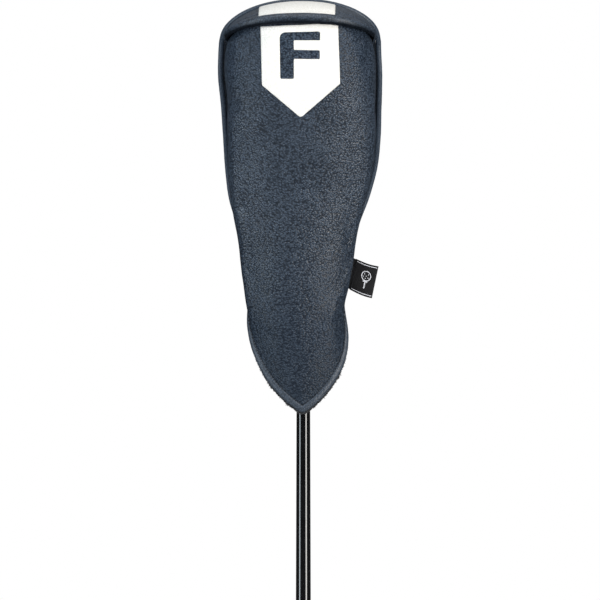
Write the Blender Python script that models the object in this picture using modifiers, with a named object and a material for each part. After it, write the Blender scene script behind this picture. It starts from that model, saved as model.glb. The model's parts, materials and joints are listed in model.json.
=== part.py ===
"""Fairway wood golf club, standing head up, with its sewn leather head cover on.

Frame: metres, +Z up along the shaft from the grip's butt (z = 0) to the head,
-Y is the front of the head cover, +X its right side as seen from the front.
The origin is at the centre of the grip's butt face.
Lengths below are in millimetres and are scaled by MM when a mesh is made.
"""

import math
from types import SimpleNamespace

import bmesh
import bpy
import numpy as np
from mathutils import Matrix, Vector
from mathutils.bvhtree import BVHTree

MM = 0.001

# ---------------------------------------------------------------- driving sizes
SOLE_Z = 1092.0          # club length, butt to sole point on the shaft axis (43 in)
LIE_DEG = 57.5           # angle between shaft and ground at address
LOFT_DEG = 16.0          # face loft
HEAD_TURN_DEG = -30.0    # the head's turn about the shaft inside the cover

GRIP_LENGTH = 268.0
BUTT_R = 15.4            # grip cap radius
CAP_H = 3.0
SHAFT_WALL = 1.15

HOSEL_MOUTH_Z = 1031.5   # rim of the hosel that the loft ring sits against
HOSEL_R = 7.2
HOSEL_BORE_R = 6.05
SLEEVE_R = 5.75
LEDGE_Z = 1072.0         # ledge in the hosel bore that the screw pulls against

COVER_TOP_Z = 1148.0     # top seam, without its piping
LEATHER_T = 1.5
PIPING_R = 2.0
RIDGE_R = 3.1            # ridge roll at its middle
RIDGE_END_R = 1.5        # radius the ridge roll tapers towards

# ---------------------------------------------------------------- scene set-up
for stale in list(bpy.data.objects):
    bpy.data.objects.remove(stale, do_unlink=True)
for stale in list(bpy.data.collections):
    bpy.data.collections.remove(stale)

CLUB = bpy.data.collections.new("fairway_wood")
CUTTERS = bpy.data.collections.new("cutters")
bpy.context.scene.collection.children.link(CLUB)
bpy.context.scene.collection.children.link(CUTTERS)
CUTTERS.hide_render = True


def material(name, colour, roughness, metallic=0.0):
    mat = bpy.data.materials.new(name)
    mat.use_nodes = True
    bsdf = mat.node_tree.nodes["Principled BSDF"]
    bsdf.inputs["Base Color"].default_value = (*colour, 1.0)
    bsdf.inputs["Roughness"].default_value = roughness
    bsdf.inputs["Metallic"].default_value = metallic
    mat.diffuse_color = (*colour, 1.0)
    return mat


NAVY = material("navy_leather", colour=(0.035, 0.05, 0.075), roughness=0.55)
NAVY_DARK = material("navy_piping", colour=(0.03, 0.04, 0.06), roughness=0.5)
WHITE = material("white_leather", colour=(0.92, 0.91, 0.88), roughness=0.5)
FLEECE = material("black_fleece", colour=(0.01, 0.01, 0.012), roughness=0.95)
FOAM = material("grey_foam", colour=(0.35, 0.35, 0.36), roughness=0.9)
ELASTIC = material("black_elastic", colour=(0.015, 0.015, 0.017), roughness=0.8)
WOVEN = material("black_woven", colour=(0.01, 0.01, 0.01), roughness=0.75)
STEEL = material("satin_steel", colour=(0.55, 0.56, 0.58), roughness=0.3, metallic=1.0)
FACE = material("blasted_face", colour=(0.45, 0.46, 0.48), roughness=0.45, metallic=1.0)
CROWN = material("gloss_navy_crown", colour=(0.012, 0.02, 0.045), roughness=0.12)
TUNGSTEN = material("tungsten", colour=(0.3, 0.3, 0.32), roughness=0.4, metallic=1.0)
ALUMINIUM = material(
    "black_aluminium", colour=(0.04, 0.04, 0.045), roughness=0.35, metallic=0.8
)
SCREW = material("screw_steel", colour=(0.5, 0.5, 0.52), roughness=0.3, metallic=1.0)
SHAFT = material("gloss_black_shaft", colour=(0.006, 0.006, 0.008), roughness=0.08)
FERRULE = material("black_ferrule", colour=(0.01, 0.01, 0.012), roughness=0.15)
RUBBER = material("grip_rubber", colour=(0.02, 0.02, 0.022), roughness=0.75)
TAPE = material("grip_tape", colour=(0.75, 0.72, 0.62), roughness=0.8)
SEAL = material("seal_rubber", colour=(0.02, 0.02, 0.02), roughness=0.7)


# ---------------------------------------------------------------- curves of numbers
def smooth(xs, ys, x):
    """Catmull-Rom curve through the points (xs, ys), read at x."""
    if x <= xs[0]:
        return ys[0]
    if x >= xs[-1]:
        return ys[-1]
    i = max(k for k in range(len(xs) - 1) if xs[k] <= x)

    def slope(k):
        before, after = max(k - 1, 0), min(k + 1, len(xs) - 1)
        return (ys[after] - ys[before]) / (xs[after] - xs[before])

    span = xs[i + 1] - xs[i]
    t = (x - xs[i]) / span
    return (
        (2 * t**3 - 3 * t**2 + 1) * ys[i]
        + (t**3 - 2 * t**2 + t) * slope(i) * span
        + (-2 * t**3 + 3 * t**2) * ys[i + 1]
        + (t**3 - t**2) * slope(i + 1) * span
    )


def ease(start, end, x):
    """Smooth step from 0 at start to 1 at end."""
    t = min(1.0, max(0.0, (x - start) / (end - start)))
    return t * t * (3 - 2 * t)


# ---------------------------------------------------------------- mesh helpers
def link_mesh(name, mesh, mat, where):
    if mat:
        mesh.materials.append(mat)
    obj = bpy.data.objects.new(name, mesh)
    where.objects.link(obj)
    return obj


def new_object(name, verts_mm, faces, mat, where=CLUB, edges=()):
    mesh = bpy.data.meshes.new(name)
    mesh.from_pydata([Vector(v) * MM for v in verts_mm], list(edges), faces)
    return link_mesh(name, mesh, mat, where)


def bmesh_object(name, bm, mat, where):
    """Object from a bmesh, which is freed."""
    mesh = bpy.data.meshes.new(name)
    bm.to_mesh(mesh)
    bm.free()
    return link_mesh(name, mesh, mat, where)


def face_outwards(mesh, weld=None):
    """Point the normals outwards, first welding vertices closer than weld metres."""
    bm = bmesh.new()
    bm.from_mesh(mesh)
    if weld:
        bmesh.ops.remove_doubles(bm, verts=bm.verts, dist=weld)
    bmesh.ops.recalc_face_normals(bm, faces=bm.faces)
    bm.to_mesh(mesh)
    bm.free()


def round_shading(obj, angle=40):
    obj.data.shade_smooth()
    obj.data.set_sharp_from_angle(angle=math.radians(angle))
    return obj


def lathe(name, profile, mat, steps=32, where=CLUB):
    """Turned solid from (radius, z) points. A profile starting off the axis is a closed loop."""
    edges = [(i, i + 1) for i in range(len(profile) - 1)]
    if profile[0][0] > 0:
        edges.append((len(profile) - 1, 0))
    obj = new_object(name, [(r, 0.0, z) for r, z in profile], [], mat, where, edges)
    screw = obj.modifiers.new("turn", "SCREW")
    screw.axis = "Z"
    screw.steps = screw.render_steps = steps
    screw.use_merge_vertices = True
    screw.merge_threshold = 1e-6
    screw.use_smooth_shade = True
    return obj


def boolean(obj, other, operation="DIFFERENCE"):
    modifier = obj.modifiers.new(operation.lower(), "BOOLEAN")
    modifier.operation = operation
    modifier.solver = "EXACT"
    modifier.object = other


def cutter(obj):
    """Mark an object as a helper for booleans."""
    obj.hide_render = True
    obj.display_type = "WIRE"
    return obj


def thicken(obj, thickness):
    """Thickness in mm, added behind the faces."""
    solidify = obj.modifiers.new("thickness", "SOLIDIFY")
    solidify.thickness = thickness * MM
    solidify.offset = -1.0
    solidify.use_even_offset = False


def baked(obj, name, mat, where=CLUB):
    """Replace the object by a mesh in world space with its modifiers applied."""
    bpy.context.view_layer.update()
    graph = bpy.context.evaluated_depsgraph_get()
    mesh = bpy.data.meshes.new_from_object(obj.evaluated_get(graph))
    mesh.transform(obj.matrix_world)
    mesh.name = name
    mesh.materials.clear()
    face_outwards(mesh, weld=2e-6)
    bpy.data.objects.remove(obj, do_unlink=True)
    return link_mesh(name, mesh, mat, where)


def tube(name, points_mm, radii_mm, mat, resolution=2, where=CLUB):
    """Round cord along a list of points, each with its own radius, as a welded closed mesh."""
    curve = bpy.data.curves.new(name, "CURVE")
    curve.dimensions = "3D"
    curve.bevel_resolution = resolution
    curve.bevel_depth = 1.0 * MM
    curve.use_fill_caps = True
    spline = curve.splines.new("POLY")
    spline.points.add(len(points_mm) - 1)
    for place, radius, point in zip(points_mm, radii_mm, spline.points):
        point.co = (*(Vector(place) * MM), 1.0)
        point.radius = radius
    obj = bpy.data.objects.new(name + "_curve", curve)
    where.objects.link(obj)
    return round_shading(baked(obj, name, mat, where), 60)


def slab_faces(rows, cols):
    """Faces of a closed slab: two layers of rows x cols vertices joined round the rim."""
    layer = rows * cols
    faces = []
    for i in range(rows - 1):
        for j in range(cols - 1):
            a = i * cols + j
            faces.append((a, a + cols, a + cols + 1, a + 1))
            faces.append((layer + a, layer + a + 1, layer + a + cols + 1, layer + a + cols))
    rim = list(range(cols))
    rim += [i * cols + cols - 1 for i in range(1, rows)]
    rim += [(rows - 1) * cols + j for j in range(cols - 2, -1, -1)]
    rim += [i * cols for i in range(rows - 2, 0, -1)]
    for a, b in zip(rim, rim[1:] + rim[:1]):
        faces.append((a, b, layer + b, layer + a))
    return faces


HEX_DEPTH = 6.0


def hex_cutter(name, radius, frame):
    """Upright hexagonal prism centred on the frame's origin."""
    bm = bmesh.new()
    bmesh.ops.create_cone(
        bm, cap_ends=True, segments=6,
        radius1=radius * MM, radius2=radius * MM, depth=HEX_DEPTH * MM,
    )
    obj = bmesh_object(name, bm, None, CUTTERS)
    obj.matrix_world = frame
    return cutter(obj)


# ================================================================= head cover skin
# Stations run from the open mouth (v = 0) through the ridge seam to the top seam (v = 1).
# Columns: v, half width, y of the widest point, y of the front centre, y of the back
# centre, height of the front centre and of the back centre over the side seams,
# angle of the side seams from the front (degrees), squareness of the section.
STATIONS = [
    (0.00, 35.2, -1.0, -13.0, 13.0, -67.0, -67.0, 104.0, 2.15),
    (0.05, 34.2, -1.5, -17.5, 14.5, -57.0, -57.5, 104.0, 2.15),
    (0.10, 35.9, -2.0, -21.0, 17.0, -47.0, -48.0, 104.0, 2.15),
    (0.20, 40.5, -4.0, -27.0, 19.5, -30.0, -31.0, 104.0, 2.2),
    (0.30, 43.9, -8.0, -36.0, 21.5, -17.0, -18.0, 103.5, 2.3),
    (0.40, 49.4, -13.0, -48.0, 23.0, -8.0, -9.0, 101.5, 2.4),
    (0.50, 53.0, -19.0, -61.5, 24.0, -2.0, -3.0, 97.5, 2.5),
    (0.60, 54.2, -26.0, -75.5, 24.0, 2.0, -1.0, 93.5, 2.5),
    (0.70, 55.0, -33.0, -88.5, 22.0, 6.0, -1.0, 91.0, 2.5),
    (0.80, 56.2, -40.0, -98.5, 11.0, 11.0, -1.0, 90.0, 2.5),
    (0.90, 55.4, -47.0, -102.0, -20.0, 17.0, 3.0, 90.0, 2.4),
]
(V, HALF_WIDTH, WIDEST_Y, FRONT_Y, BACK_Y,
 FRONT_BOW, BACK_BOW, SEAM_DEG, SQUARE) = zip(*STATIONS)

# sideways lean of the cover: (z, x of the middle)
LEAN = [
    (855, -0.5), (872, -1.2), (890, -1.8), (907, -3.2), (922, -4.8),
    (935, -5.3), (960, -4.6), (985, -4.5), (1009, -3.6), (1031, -1.9),
    (1053, -1.2), (1075, -1.5), (1097, -2.3), (1120, -2.4), (1150, -1.0),
]
LEAN_Z, LEAN_X = zip(*LEAN)

RIDGE_V = V[-1]          # station of the ridge seam
SEAM_MOUTH_Z = 922.0     # side seam at the mouth
SEAM_RISE = 196.5        # side seam, mouth to ridge
TOP_RISE = 3.0           # side seam, ridge to top
TOP_Y = -72.0            # depth of the top seam at its middle
TOP_NARROWING = 0.2      # changes from the ridge to the top: half width,
TOP_SHIFT_Y = 2.0        # y of the widest point
TOP_SQUARE_LOSS = 0.4    # and squareness
BACK_TOP_SWELL = 3.0     # extra height of the back between ridge and top
TONGUE_POWER = 1.32      # shape of the tongues at the mouth


def section(v):
    """Everything that shapes the cover at station v."""
    above = min(1.0, max(0.0, (v - RIDGE_V) / (1 - RIDGE_V)))
    u = min(v, RIDGE_V)
    seam_z = SEAM_MOUTH_Z + SEAM_RISE * u / RIDGE_V + TOP_RISE * above
    front_y, back_y = smooth(V, FRONT_Y, u), smooth(V, BACK_Y, u)
    front_bow, back_bow = smooth(V, FRONT_BOW, u), smooth(V, BACK_BOW, u)
    if above > 0:
        quarter = above * math.pi / 2
        ridge_z = SEAM_MOUTH_Z + SEAM_RISE
        front_ridge_z, back_ridge_z = ridge_z + FRONT_BOW[-1], ridge_z + BACK_BOW[-1]
        front_y = TOP_Y + (FRONT_Y[-1] - TOP_Y) * math.cos(quarter)
        front_z = front_ridge_z + (COVER_TOP_Z - front_ridge_z) * math.sin(quarter)
        back_y = BACK_Y[-1] + (TOP_Y - BACK_Y[-1]) * above
        back_z = back_ridge_z + (COVER_TOP_Z - back_ridge_z) * above
        back_z += BACK_TOP_SWELL * math.sin(math.pi * above)
        front_bow, back_bow = front_z - seam_z, back_z - seam_z
    return SimpleNamespace(
        half_width=smooth(V, HALF_WIDTH, u) - TOP_NARROWING * above,
        widest_y=smooth(V, WIDEST_Y, u) - TOP_SHIFT_Y * above,
        front_y=front_y,
        back_y=back_y,
        seam_z=seam_z,
        seam_angle=math.radians(smooth(V, SEAM_DEG, u)),
        square=smooth(V, SQUARE, u) - TOP_SQUARE_LOSS * above,
        front_bow=front_bow,
        back_bow=back_bow,
        arch_share=ease(0.3, 0.7, v),   # from tongue outline to arch outline
    )


def cover(alpha, v, shape=None):
    """Point of the outer skin. alpha is 0 at the front centre and positive to +X;
    angles past the back centre (180 degrees) come round to the left side."""
    shape = shape or section(v)
    if alpha > math.pi:
        alpha -= 2 * math.pi
    a = min(abs(alpha), math.pi)
    sin_a, cos_a = math.sin(a), math.cos(a)
    power = 2.0 / shape.square
    end_y = shape.front_y if cos_a >= 0 else shape.back_y
    y = shape.widest_y + (end_y - shape.widest_y) * abs(cos_a) ** power
    if a <= shape.seam_angle:
        q, bow = a / shape.seam_angle, shape.front_bow
    else:
        q, bow = (math.pi - a) / (math.pi - shape.seam_angle), shape.back_bow
    tongue = 1 - q**TONGUE_POWER
    arch = math.cos(q * math.pi / 2)
    z = shape.seam_z + bow * ((1 - shape.arch_share) * tongue + shape.arch_share * arch)
    half = shape.half_width * max(sin_a, 0.0) ** power
    x = smooth(LEAN_Z, LEAN_X, z) + math.copysign(half, alpha)
    return np.array([x, y, z])


def skin_normal(alpha, v):
    """Outward normal of the skin, from small steps to either side."""
    step_a, step_v = 0.004, 0.002
    v0, v1 = max(0.0, v - step_v), min(0.9995, v + step_v)
    along = cover(alpha, v1) - cover(alpha, v0)
    across = cover(alpha + step_a, v) - cover(alpha - step_a, v)
    normal = np.cross(across, along)
    return normal / max(1e-9, np.linalg.norm(normal))


def off_skin(alpha, v, out):
    return cover(alpha, v) + skin_normal(alpha, v) * out


def seam_angle(v):
    return section(v).seam_angle


def even_row(v, start, end, count):
    """Angles that space count + 1 points evenly along the row from start to end."""
    fine = np.linspace(start, end, 181)
    shape = section(v)
    points = np.array([cover(a, v, shape) for a in fine])
    steps = np.linalg.norm(np.diff(points, axis=0), axis=1)
    run = np.concatenate([[0], np.cumsum(steps)])
    return np.interp(np.linspace(0, 1, count + 1) * run[-1], run, fine)


def v_steps(start, end, count):
    return list(np.linspace(start, end, count + 1))


# ---------------------------------------------------------------- sheets on the skin
def thick_grid(name, points, cols, mat, thickness):
    """Open grid of points, cols to a row, given a thickness inwards."""
    faces = []
    for i in range(len(points) // cols - 1):
        for j in range(cols - 1):
            k = i * cols + j
            faces.append((k, k + 1, k + cols + 1))
            faces.append((k, k + cols + 1, k + cols))
    obj = new_object(name, points, faces, mat)
    thicken(obj, thickness)
    return round_shading(obj, 80)


def sheet(name, stations, angles, offset, mat, thickness, clear=()):
    """Sheet whose outer face is offset mm inside the skin, cut by the clear objects."""
    points = []
    for v in stations:
        row = angles(v)
        depth = offset(v) if callable(offset) else offset
        points += [off_skin(a, v, -depth) for a in row]
    obj = thick_grid(name, points, len(row), mat, thickness)
    for other in clear:
        boolean(obj, other)
    return obj


MOUTH_TRIM = 0.03        # extra trim at the open mouth, radians


def seam_trim(v, trim):
    """Panels stop short of the seam, a little more at the open mouth."""
    return trim + MOUTH_TRIM * (1 - ease(0.0, 0.1, v))


def front_row(count, trim):
    def row(v):
        a = seam_angle(v) - seam_trim(v, trim)
        return even_row(v, -a, a, count)

    return row


def back_row(count, trim):
    def row(v):
        a = seam_angle(v) + seam_trim(v, trim)
        return even_row(v, a, 2 * math.pi - a, count)

    return row


def inner_columns(row, skip=0, tuck=0.0):
    """A panel's own columns, with some skipped at each side or the outer ones tucked in."""

    def pick(v):
        angles = list(row(v))
        angles = angles[skip: len(angles) - skip]
        angles[0] += tuck
        angles[-1] -= tuck
        return angles

    return pick


# ---------------------------------------------------------------- piping and ridge roll
PIPING_GAP = 0.45        # clearance cut round the piping
RIDGE_GAP = 0.35         # clearance cut round the ridge roll
RIDGE_OUT = 1.2          # ridge roll's centre line over the skin
RIDGE_CLEAR_END_R = 1.9

SIDE_V = [0.008] + [0.9 * k / 16 for k in range(1, 17)] + [0.93, 0.966]
TOP_ANGLES = np.radians([84, 76, 66, 54, 41, 27, 13, 0, -13, -27, -41, -54, -66, -76, -84])
RIDGE_ANGLES = np.radians([-78, -68, -56, -43, -29, -15, 0, 15, 29, 43, 56, 68, 78])


def side_piping_point(v, side):
    """The cord stands proud of the seam up high and sinks below the skin lower down."""
    out = -0.75 + 1.35 * ease(0.40, 0.56, v)
    normal = skin_normal(side * (seam_angle(v) - 0.02), v)
    return cover(side * seam_angle(v), v) + normal * out


def top_piping_point(a):
    return cover(a, 1.0) + np.array([0.35 * math.sin(a), 0.0, 0.5 * math.cos(a)])


# the piping runs up the right seam, over the top and down the left seam
piping_path = [side_piping_point(v, 1) for v in SIDE_V]
piping_path += [top_piping_point(a) for a in TOP_ANGLES]
piping_path += [side_piping_point(v, -1) for v in reversed(SIDE_V)]
tube("perimeter_piping", piping_path, [PIPING_R] * len(piping_path), NAVY_DARK, 1)
piping_clear = cutter(tube(
    "piping_clear", piping_path, [PIPING_R + PIPING_GAP] * len(piping_path), NAVY,
    where=CUTTERS,
))


def ridge_path(angles):
    return [off_skin(a, RIDGE_V, RIDGE_OUT) for a in angles]


ridge_radii = [
    RIDGE_END_R + (RIDGE_R - RIDGE_END_R) * math.cos(a) ** 0.8 for a in RIDGE_ANGLES
]
tube("ridge_roll", ridge_path(RIDGE_ANGLES), ridge_radii, NAVY)
clear_angles = [*np.radians([-88, -83]), *RIDGE_ANGLES, *np.radians([83, 88])]
clear_ends = [RIDGE_CLEAR_END_R] * 2
ridge_clear = cutter(tube(
    "ridge_clear", ridge_path(clear_angles),
    clear_ends + [r + RIDGE_GAP for r in ridge_radii] + clear_ends, NAVY, where=CUTTERS,
))

# ---------------------------------------------------------------- leather, foam, lining
# every layer of a panel shares the same stations, so the layers stay evenly apart
ROWS_F = v_steps(0.0, RIDGE_V - 0.006, 16)
ROWS_B = v_steps(0.0, RIDGE_V, 16)
COLS_F, COLS_B = 16, 14
FRONT = front_row(COLS_F, 0.02)
BACK = back_row(COLS_B, 0.03)

FOAM_OFFSET = LEATHER_T + 0.35
FOAM_T = 2.4
LINING_T = 1.5
LINING_TUCK = 0.06       # radians


def lining_offset(v):
    """The lining lies on the leather at the mouth and inside the foam higher up."""
    return FOAM_OFFSET + 2.9 * ease(0.12, 0.34, v)


sheet("front_panel", ROWS_F, FRONT, 0.0, NAVY, LEATHER_T, [piping_clear, ridge_clear])
sheet(
    "top_gusset", [0.906, 0.93, 0.955, 0.98, 0.999], front_row(COLS_F, 0.12),
    0.0, NAVY, LEATHER_T, [piping_clear, ridge_clear],
)
sheet(
    "back_panel", ROWS_B + [0.93, 0.965, 0.9975], BACK, 0.0, NAVY, LEATHER_T, [piping_clear]
)
sheet("foam_front", ROWS_F[6:-1], inner_columns(FRONT, skip=1), FOAM_OFFSET, FOAM, FOAM_T)
sheet(
    "foam_back", ROWS_B[6:] + [0.93], inner_columns(BACK, skip=1), FOAM_OFFSET, FOAM, FOAM_T
)
sheet(
    "lining_front", [0.012] + ROWS_F[1:-1] + [0.93, 0.955, 0.98],
    inner_columns(FRONT, tuck=LINING_TUCK), lining_offset, FLEECE, LINING_T,
)
sheet(
    "lining_back", [0.012] + ROWS_B[1:] + [0.93, 0.965],
    inner_columns(BACK, tuck=LINING_TUCK), lining_offset, FLEECE, LINING_T,
)
# elastic across the inside of the back, where the neck is drawn in
sheet("neck_elastic", ROWS_B[1:3], inner_columns(BACK, skip=1), 3.8, ELASTIC, 1.0)

# folded hems on the two tongues, the same width all the way round
HEM_WIDTH = 4.8
HEM_DEPTH = 1.4          # inside the skin
HEM_T = 0.95
HEM_TUCK = 0.05          # radians


def hem(name, row):
    angles = inner_columns(row, tuck=HEM_TUCK)(0.0)
    points = []
    for share in (0.0, 0.5, 1.0):
        for a in angles:
            along = (cover(a + 0.01, 0.0) - cover(a - 0.01, 0.0)) / 0.02
            along = along / np.linalg.norm(along)
            rise = (cover(a, 0.01) - cover(a, 0.0)) / 0.01
            rise = rise - along * np.dot(rise, along)
            v = share * HEM_WIDTH / np.linalg.norm(rise)
            points.append(off_skin(a, v, HEM_DEPTH))
    boolean(thick_grid(name, points, len(angles), NAVY, HEM_T), piping_clear)


hem("hem_front", FRONT)
hem("hem_back", BACK)

# ---------------------------------------------------------------- white patch and stripe
PATCH_GAP = 0.35         # inner face of patch and stripe over the skin
PATCH_T = 0.9

# corners as (x, z, corner radius)
# the patch has straight sides and a point, and hangs a little left of the middle
PATCH = [
    (-30.2, 1129.5, 0.0), (24.4, 1132.0, 0.0), (26.0, 1089.5, 1.8),
    (-1.9, 1065.5, 2.6), (-29.3, 1088.5, 1.8),
]
# a plain block capital F for the club type
LETTER = [
    (-16.4, 1093.4, 1.2), (-16.9, 1126.0, 3.4), (11.8, 1126.0, 1.6), (11.8, 1119.9, 0.6),
    (-6.8, 1119.9, 0.8), (-6.8, 1113.2, 0.8), (11.6, 1112.8, 1.0), (11.6, 1107.0, 1.0),
    (-6.8, 1107.0, 0.8), (-6.8, 1093.4, 1.2),
]
# the slab the patch is cut from: (direction, start, end, cells)
SLAB_X = ((1, 0, 0), -33.0, 29.0, 9)
SLAB_Z = ((0, 0, 1), 1063.0, 1133.0, 8)


def rounded(corners, steps=3):
    """Outline with each corner replaced by a short curve."""
    out = []
    for i, (x, z, radius) in enumerate(corners):
        corner = Vector((x, z))
        if radius <= 0:
            out.append(tuple(corner))
            continue
        before = (Vector(corners[i - 1][:2]) - corner).normalized()
        after = (Vector(corners[(i + 1) % len(corners)][:2]) - corner).normalized()
        half = math.acos(max(-1, min(1, before.dot(after)))) / 2
        reach = radius / math.tan(half)
        start, end = corner + before * reach, corner + after * reach
        for k in range(steps + 1):
            f = k / steps
            out.append(tuple((1 - f) ** 2 * start + 2 * f * (1 - f) * corner + f * f * end))
    return out


def outline(name, corners, depth):
    """Closed outline in X and Z, extruded by depth to either side along Y."""
    points = rounded(corners)
    curve = bpy.data.curves.new(name, "CURVE")
    curve.dimensions = "2D"
    curve.fill_mode = "BOTH"
    curve.extrude = depth * MM
    spline = curve.splines.new("POLY")
    spline.points.add(len(points) - 1)
    spline.use_cyclic_u = True
    for (x, z), point in zip(points, spline.points):
        point.co = (x * MM, z * MM, 0, 1)
    obj = bpy.data.objects.new(name + "_curve", curve)
    obj.rotation_euler = (math.pi / 2, 0, 0)
    CUTTERS.objects.link(obj)
    return cutter(baked(obj, name, WHITE, CUTTERS))


def patch_slab():
    """Flat slab in X and Z, divided into cells so that it can bend."""
    x0, x1 = SLAB_X[1:3]
    z0, z1 = SLAB_Z[1:3]
    bm = bmesh.new()
    bmesh.ops.create_cube(bm, size=1.0)
    for vert in bm.verts:
        vert.co = Vector((
            (x0 + (x1 - x0) * (vert.co.x + 0.5)) * MM,
            (-PATCH_T if vert.co.y < 0 else 0.0) * MM,
            (z0 + (z1 - z0) * (vert.co.z + 0.5)) * MM,
        ))
    for direction, start, end, cells in (SLAB_X, SLAB_Z):
        for i in range(1, cells):
            at = (start + (end - start) * i / cells) * MM
            bmesh.ops.bisect_plane(
                bm, geom=bm.verts[:] + bm.edges[:] + bm.faces[:],
                plane_co=Vector(direction) * at, plane_no=direction,
            )
    return bmesh_object("patch_slab", bm, WHITE, CLUB)


def front_skin():
    """Search tree of the skin's front, for casting rays at."""
    rows = v_steps(0.0, 0.9, 60) + list(0.9 + 0.1 * np.linspace(0.05, 0.99, 24))
    cols = 61
    verts, faces = [], []
    for v in rows:
        for a in even_row(v, -seam_angle(v), seam_angle(v), cols - 1):
            verts.append(Vector(cover(a, v)) * MM)
    for i in range(len(rows) - 1):
        for j in range(cols - 1):
            k = i * cols + j
            faces.append((k, k + 1, k + cols + 1, k + cols))
    return BVHTree.FromPolygons(verts, faces)


def lay_on_front(obj, gap):
    """Lay a flat mesh in X and Z on the front skin, its -Y becoming height above the gap."""
    skin = front_skin()
    for vert in obj.data.vertices:
        origin = Vector((vert.co.x, -0.3, vert.co.z))   # well in front of the cover
        hit, normal, _, _ = skin.ray_cast(origin, Vector((0, 1, 0)))
        if hit is None:
            raise ValueError(f"{obj.name} runs off the cover at {vert.co}")
        if normal.y > 0:
            normal = -normal
        vert.co = hit + normal * (gap * MM - vert.co.y)
    face_outwards(obj.data)


slab = patch_slab()
boolean(slab, outline("patch_outline", PATCH, 6.0), "INTERSECT")
boolean(slab, outline("letter_outline", LETTER, 9.0))
white_patch = baked(slab, "white_patch", WHITE)
lay_on_front(white_patch, PATCH_GAP)
round_shading(white_patch, 50)
boolean(white_patch, ridge_clear)

# the stripe follows the gusset from the ridge to the top seam
STRIPE_X = (-31.5, 22.5)


def angle_at_x(x, v):
    """Angle on the front half of the row at v where the skin reaches x, by bisection."""
    right = x >= cover(0.0, v)[0]
    low, high = (0.0, math.pi / 2) if right else (-math.pi / 2, 0.0)
    for _ in range(40):
        middle = (low + high) / 2
        if cover(middle, v)[0] < x:
            low = middle
        else:
            high = middle
    return (low + high) / 2


def stripe_row(v):
    return [angle_at_x(x, v) for x in np.linspace(*STRIPE_X, 10)]


sheet(
    "top_stripe", [0.9, 0.925, 0.95, 0.97, 0.99], stripe_row, -(PATCH_GAP + PATCH_T),
    WHITE, PATCH_T, [ridge_clear, piping_clear],
)

# ---------------------------------------------------------------- woven label, right seam
LABEL_W, LABEL_L, LABEL_T = 22.6, 17.0, 1.2
LABEL_V = (0.113, 0.183)                        # stations of the root's ends
LABEL_SHIFT = np.array([2.9, 1.4, 0.0])         # root's offset from the seam
LABEL_ROOT_GAP = 0.4
LABEL_OUT = np.array([0.955, 0.0, -0.297])      # along the label, away from the cover
LABEL_UP = np.array([0.215, 0.0, 0.976])        # across the label
LABEL_CELLS = (6, 3)                            # along, across


def side_label():
    """Bent strip that hangs away from the cover."""
    lower, upper = (cover(seam_angle(v), v) for v in LABEL_V)
    root = (lower + upper) / 2 + LABEL_SHIFT
    along, across = LABEL_CELLS
    points = []
    for y_shift in (0.0, LABEL_T):
        for i in range(along + 1):
            t = i / along
            bend = np.array([0, y_shift - 1.6 * math.sin(t * 2.6), -1.3 * math.sin(t * 2.4)])
            spine = root + LABEL_OUT * (LABEL_ROOT_GAP + LABEL_L * t) + bend
            for j in range(across + 1):
                points.append(spine + LABEL_UP * (j / across - 0.5) * LABEL_W)
    obj = new_object("side_label", points, slab_faces(along + 1, across + 1), WOVEN)
    face_outwards(obj.data, weld=1e-6)
    round_shading(obj, 50)


side_label()

# ================================================================= shaft and grip
# outer (radius, z), tip at the top
SHAFT_PROFILE = [
    (4.25, 1058.0), (4.25, 1004.0), (4.6, 960.0), (4.95, 849.0), (7.45, 60.0), (7.55, 3.4),
]
TAPE_TOP_Z = 262.0


def shaft_r(z):
    radii, heights = zip(*reversed(SHAFT_PROFILE))
    return float(np.interp(z, heights, radii))


shaft_bore = [(r - SHAFT_WALL, z) for r, z in reversed(SHAFT_PROFILE)]
lathe("shaft", SHAFT_PROFILE + shaft_bore, SHAFT, 28)
lathe(
    "grip_sleeve",
    [
        (8.2, GRIP_LENGTH), (8.7, 264.5), (9.7, 190.0), (10.7, 110.0), (11.6, 50.0),
        (12.3, 28.0), (13.5, 14.0), (15.0, 7.0), (15.3, CAP_H + 0.3),
        # bore
        (8.15, CAP_H + 0.3), (8.1, 60.0), (shaft_r(GRIP_LENGTH) + 0.75, GRIP_LENGTH),
    ],
    RUBBER,
)
lathe(
    "grip_tape",
    [
        (shaft_r(TAPE_TOP_Z) + 0.48, TAPE_TOP_Z), (7.83, 60.0), (7.87, 6.0),
        (7.72, 6.0), (7.68, 60.0), (shaft_r(TAPE_TOP_Z) + 0.22, TAPE_TOP_Z),
    ],
    TAPE, 28,
)
lathe(
    "grip_cap",
    [
        (0.0, CAP_H), (14.6, CAP_H), (BUTT_R, CAP_H - 0.8), (BUTT_R, 0.9),
        (14.5, 0.0), (0.0, 0.0),
    ],
    RUBBER,
)

# ================================================================= hosel hardware
lathe(
    "ferrule",
    [
        (6.95, 1019.7), (6.95, 1016.0), (6.2, 1009.0), (5.3, 1003.0),
        (4.6, 1003.0), (4.6, 1019.7),
    ],
    FERRULE, 28,
)
lathe(
    "hosel_adapter",
    [
        (SLEEVE_R - 0.6, LEDGE_Z - 0.5), (SLEEVE_R, LEDGE_Z - 1.5), (SLEEVE_R, 1026.0),
        (7.0, 1026.0), (7.1, 1025.0), (7.1, 1020.3), (6.8, 1020.0), (4.55, 1020.0),
        (4.55, 1060.0), (2.62, 1060.0), (2.62, LEDGE_Z - 0.5),
    ],
    ALUMINIUM, 28,
)
lathe(
    "loft_ring",
    [
        (6.9, 1031.2), (7.15, 1030.8), (7.15, 1026.7), (6.9, 1026.3),
        (6.05, 1026.3), (6.05, 1031.2),
    ],
    ALUMINIUM, 28,
)
lathe(
    "hosel_washer", [(3.95, 1076.1), (3.95, 1075.3), (2.85, 1075.3), (2.85, 1076.1)], SCREW, 24
)
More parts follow.
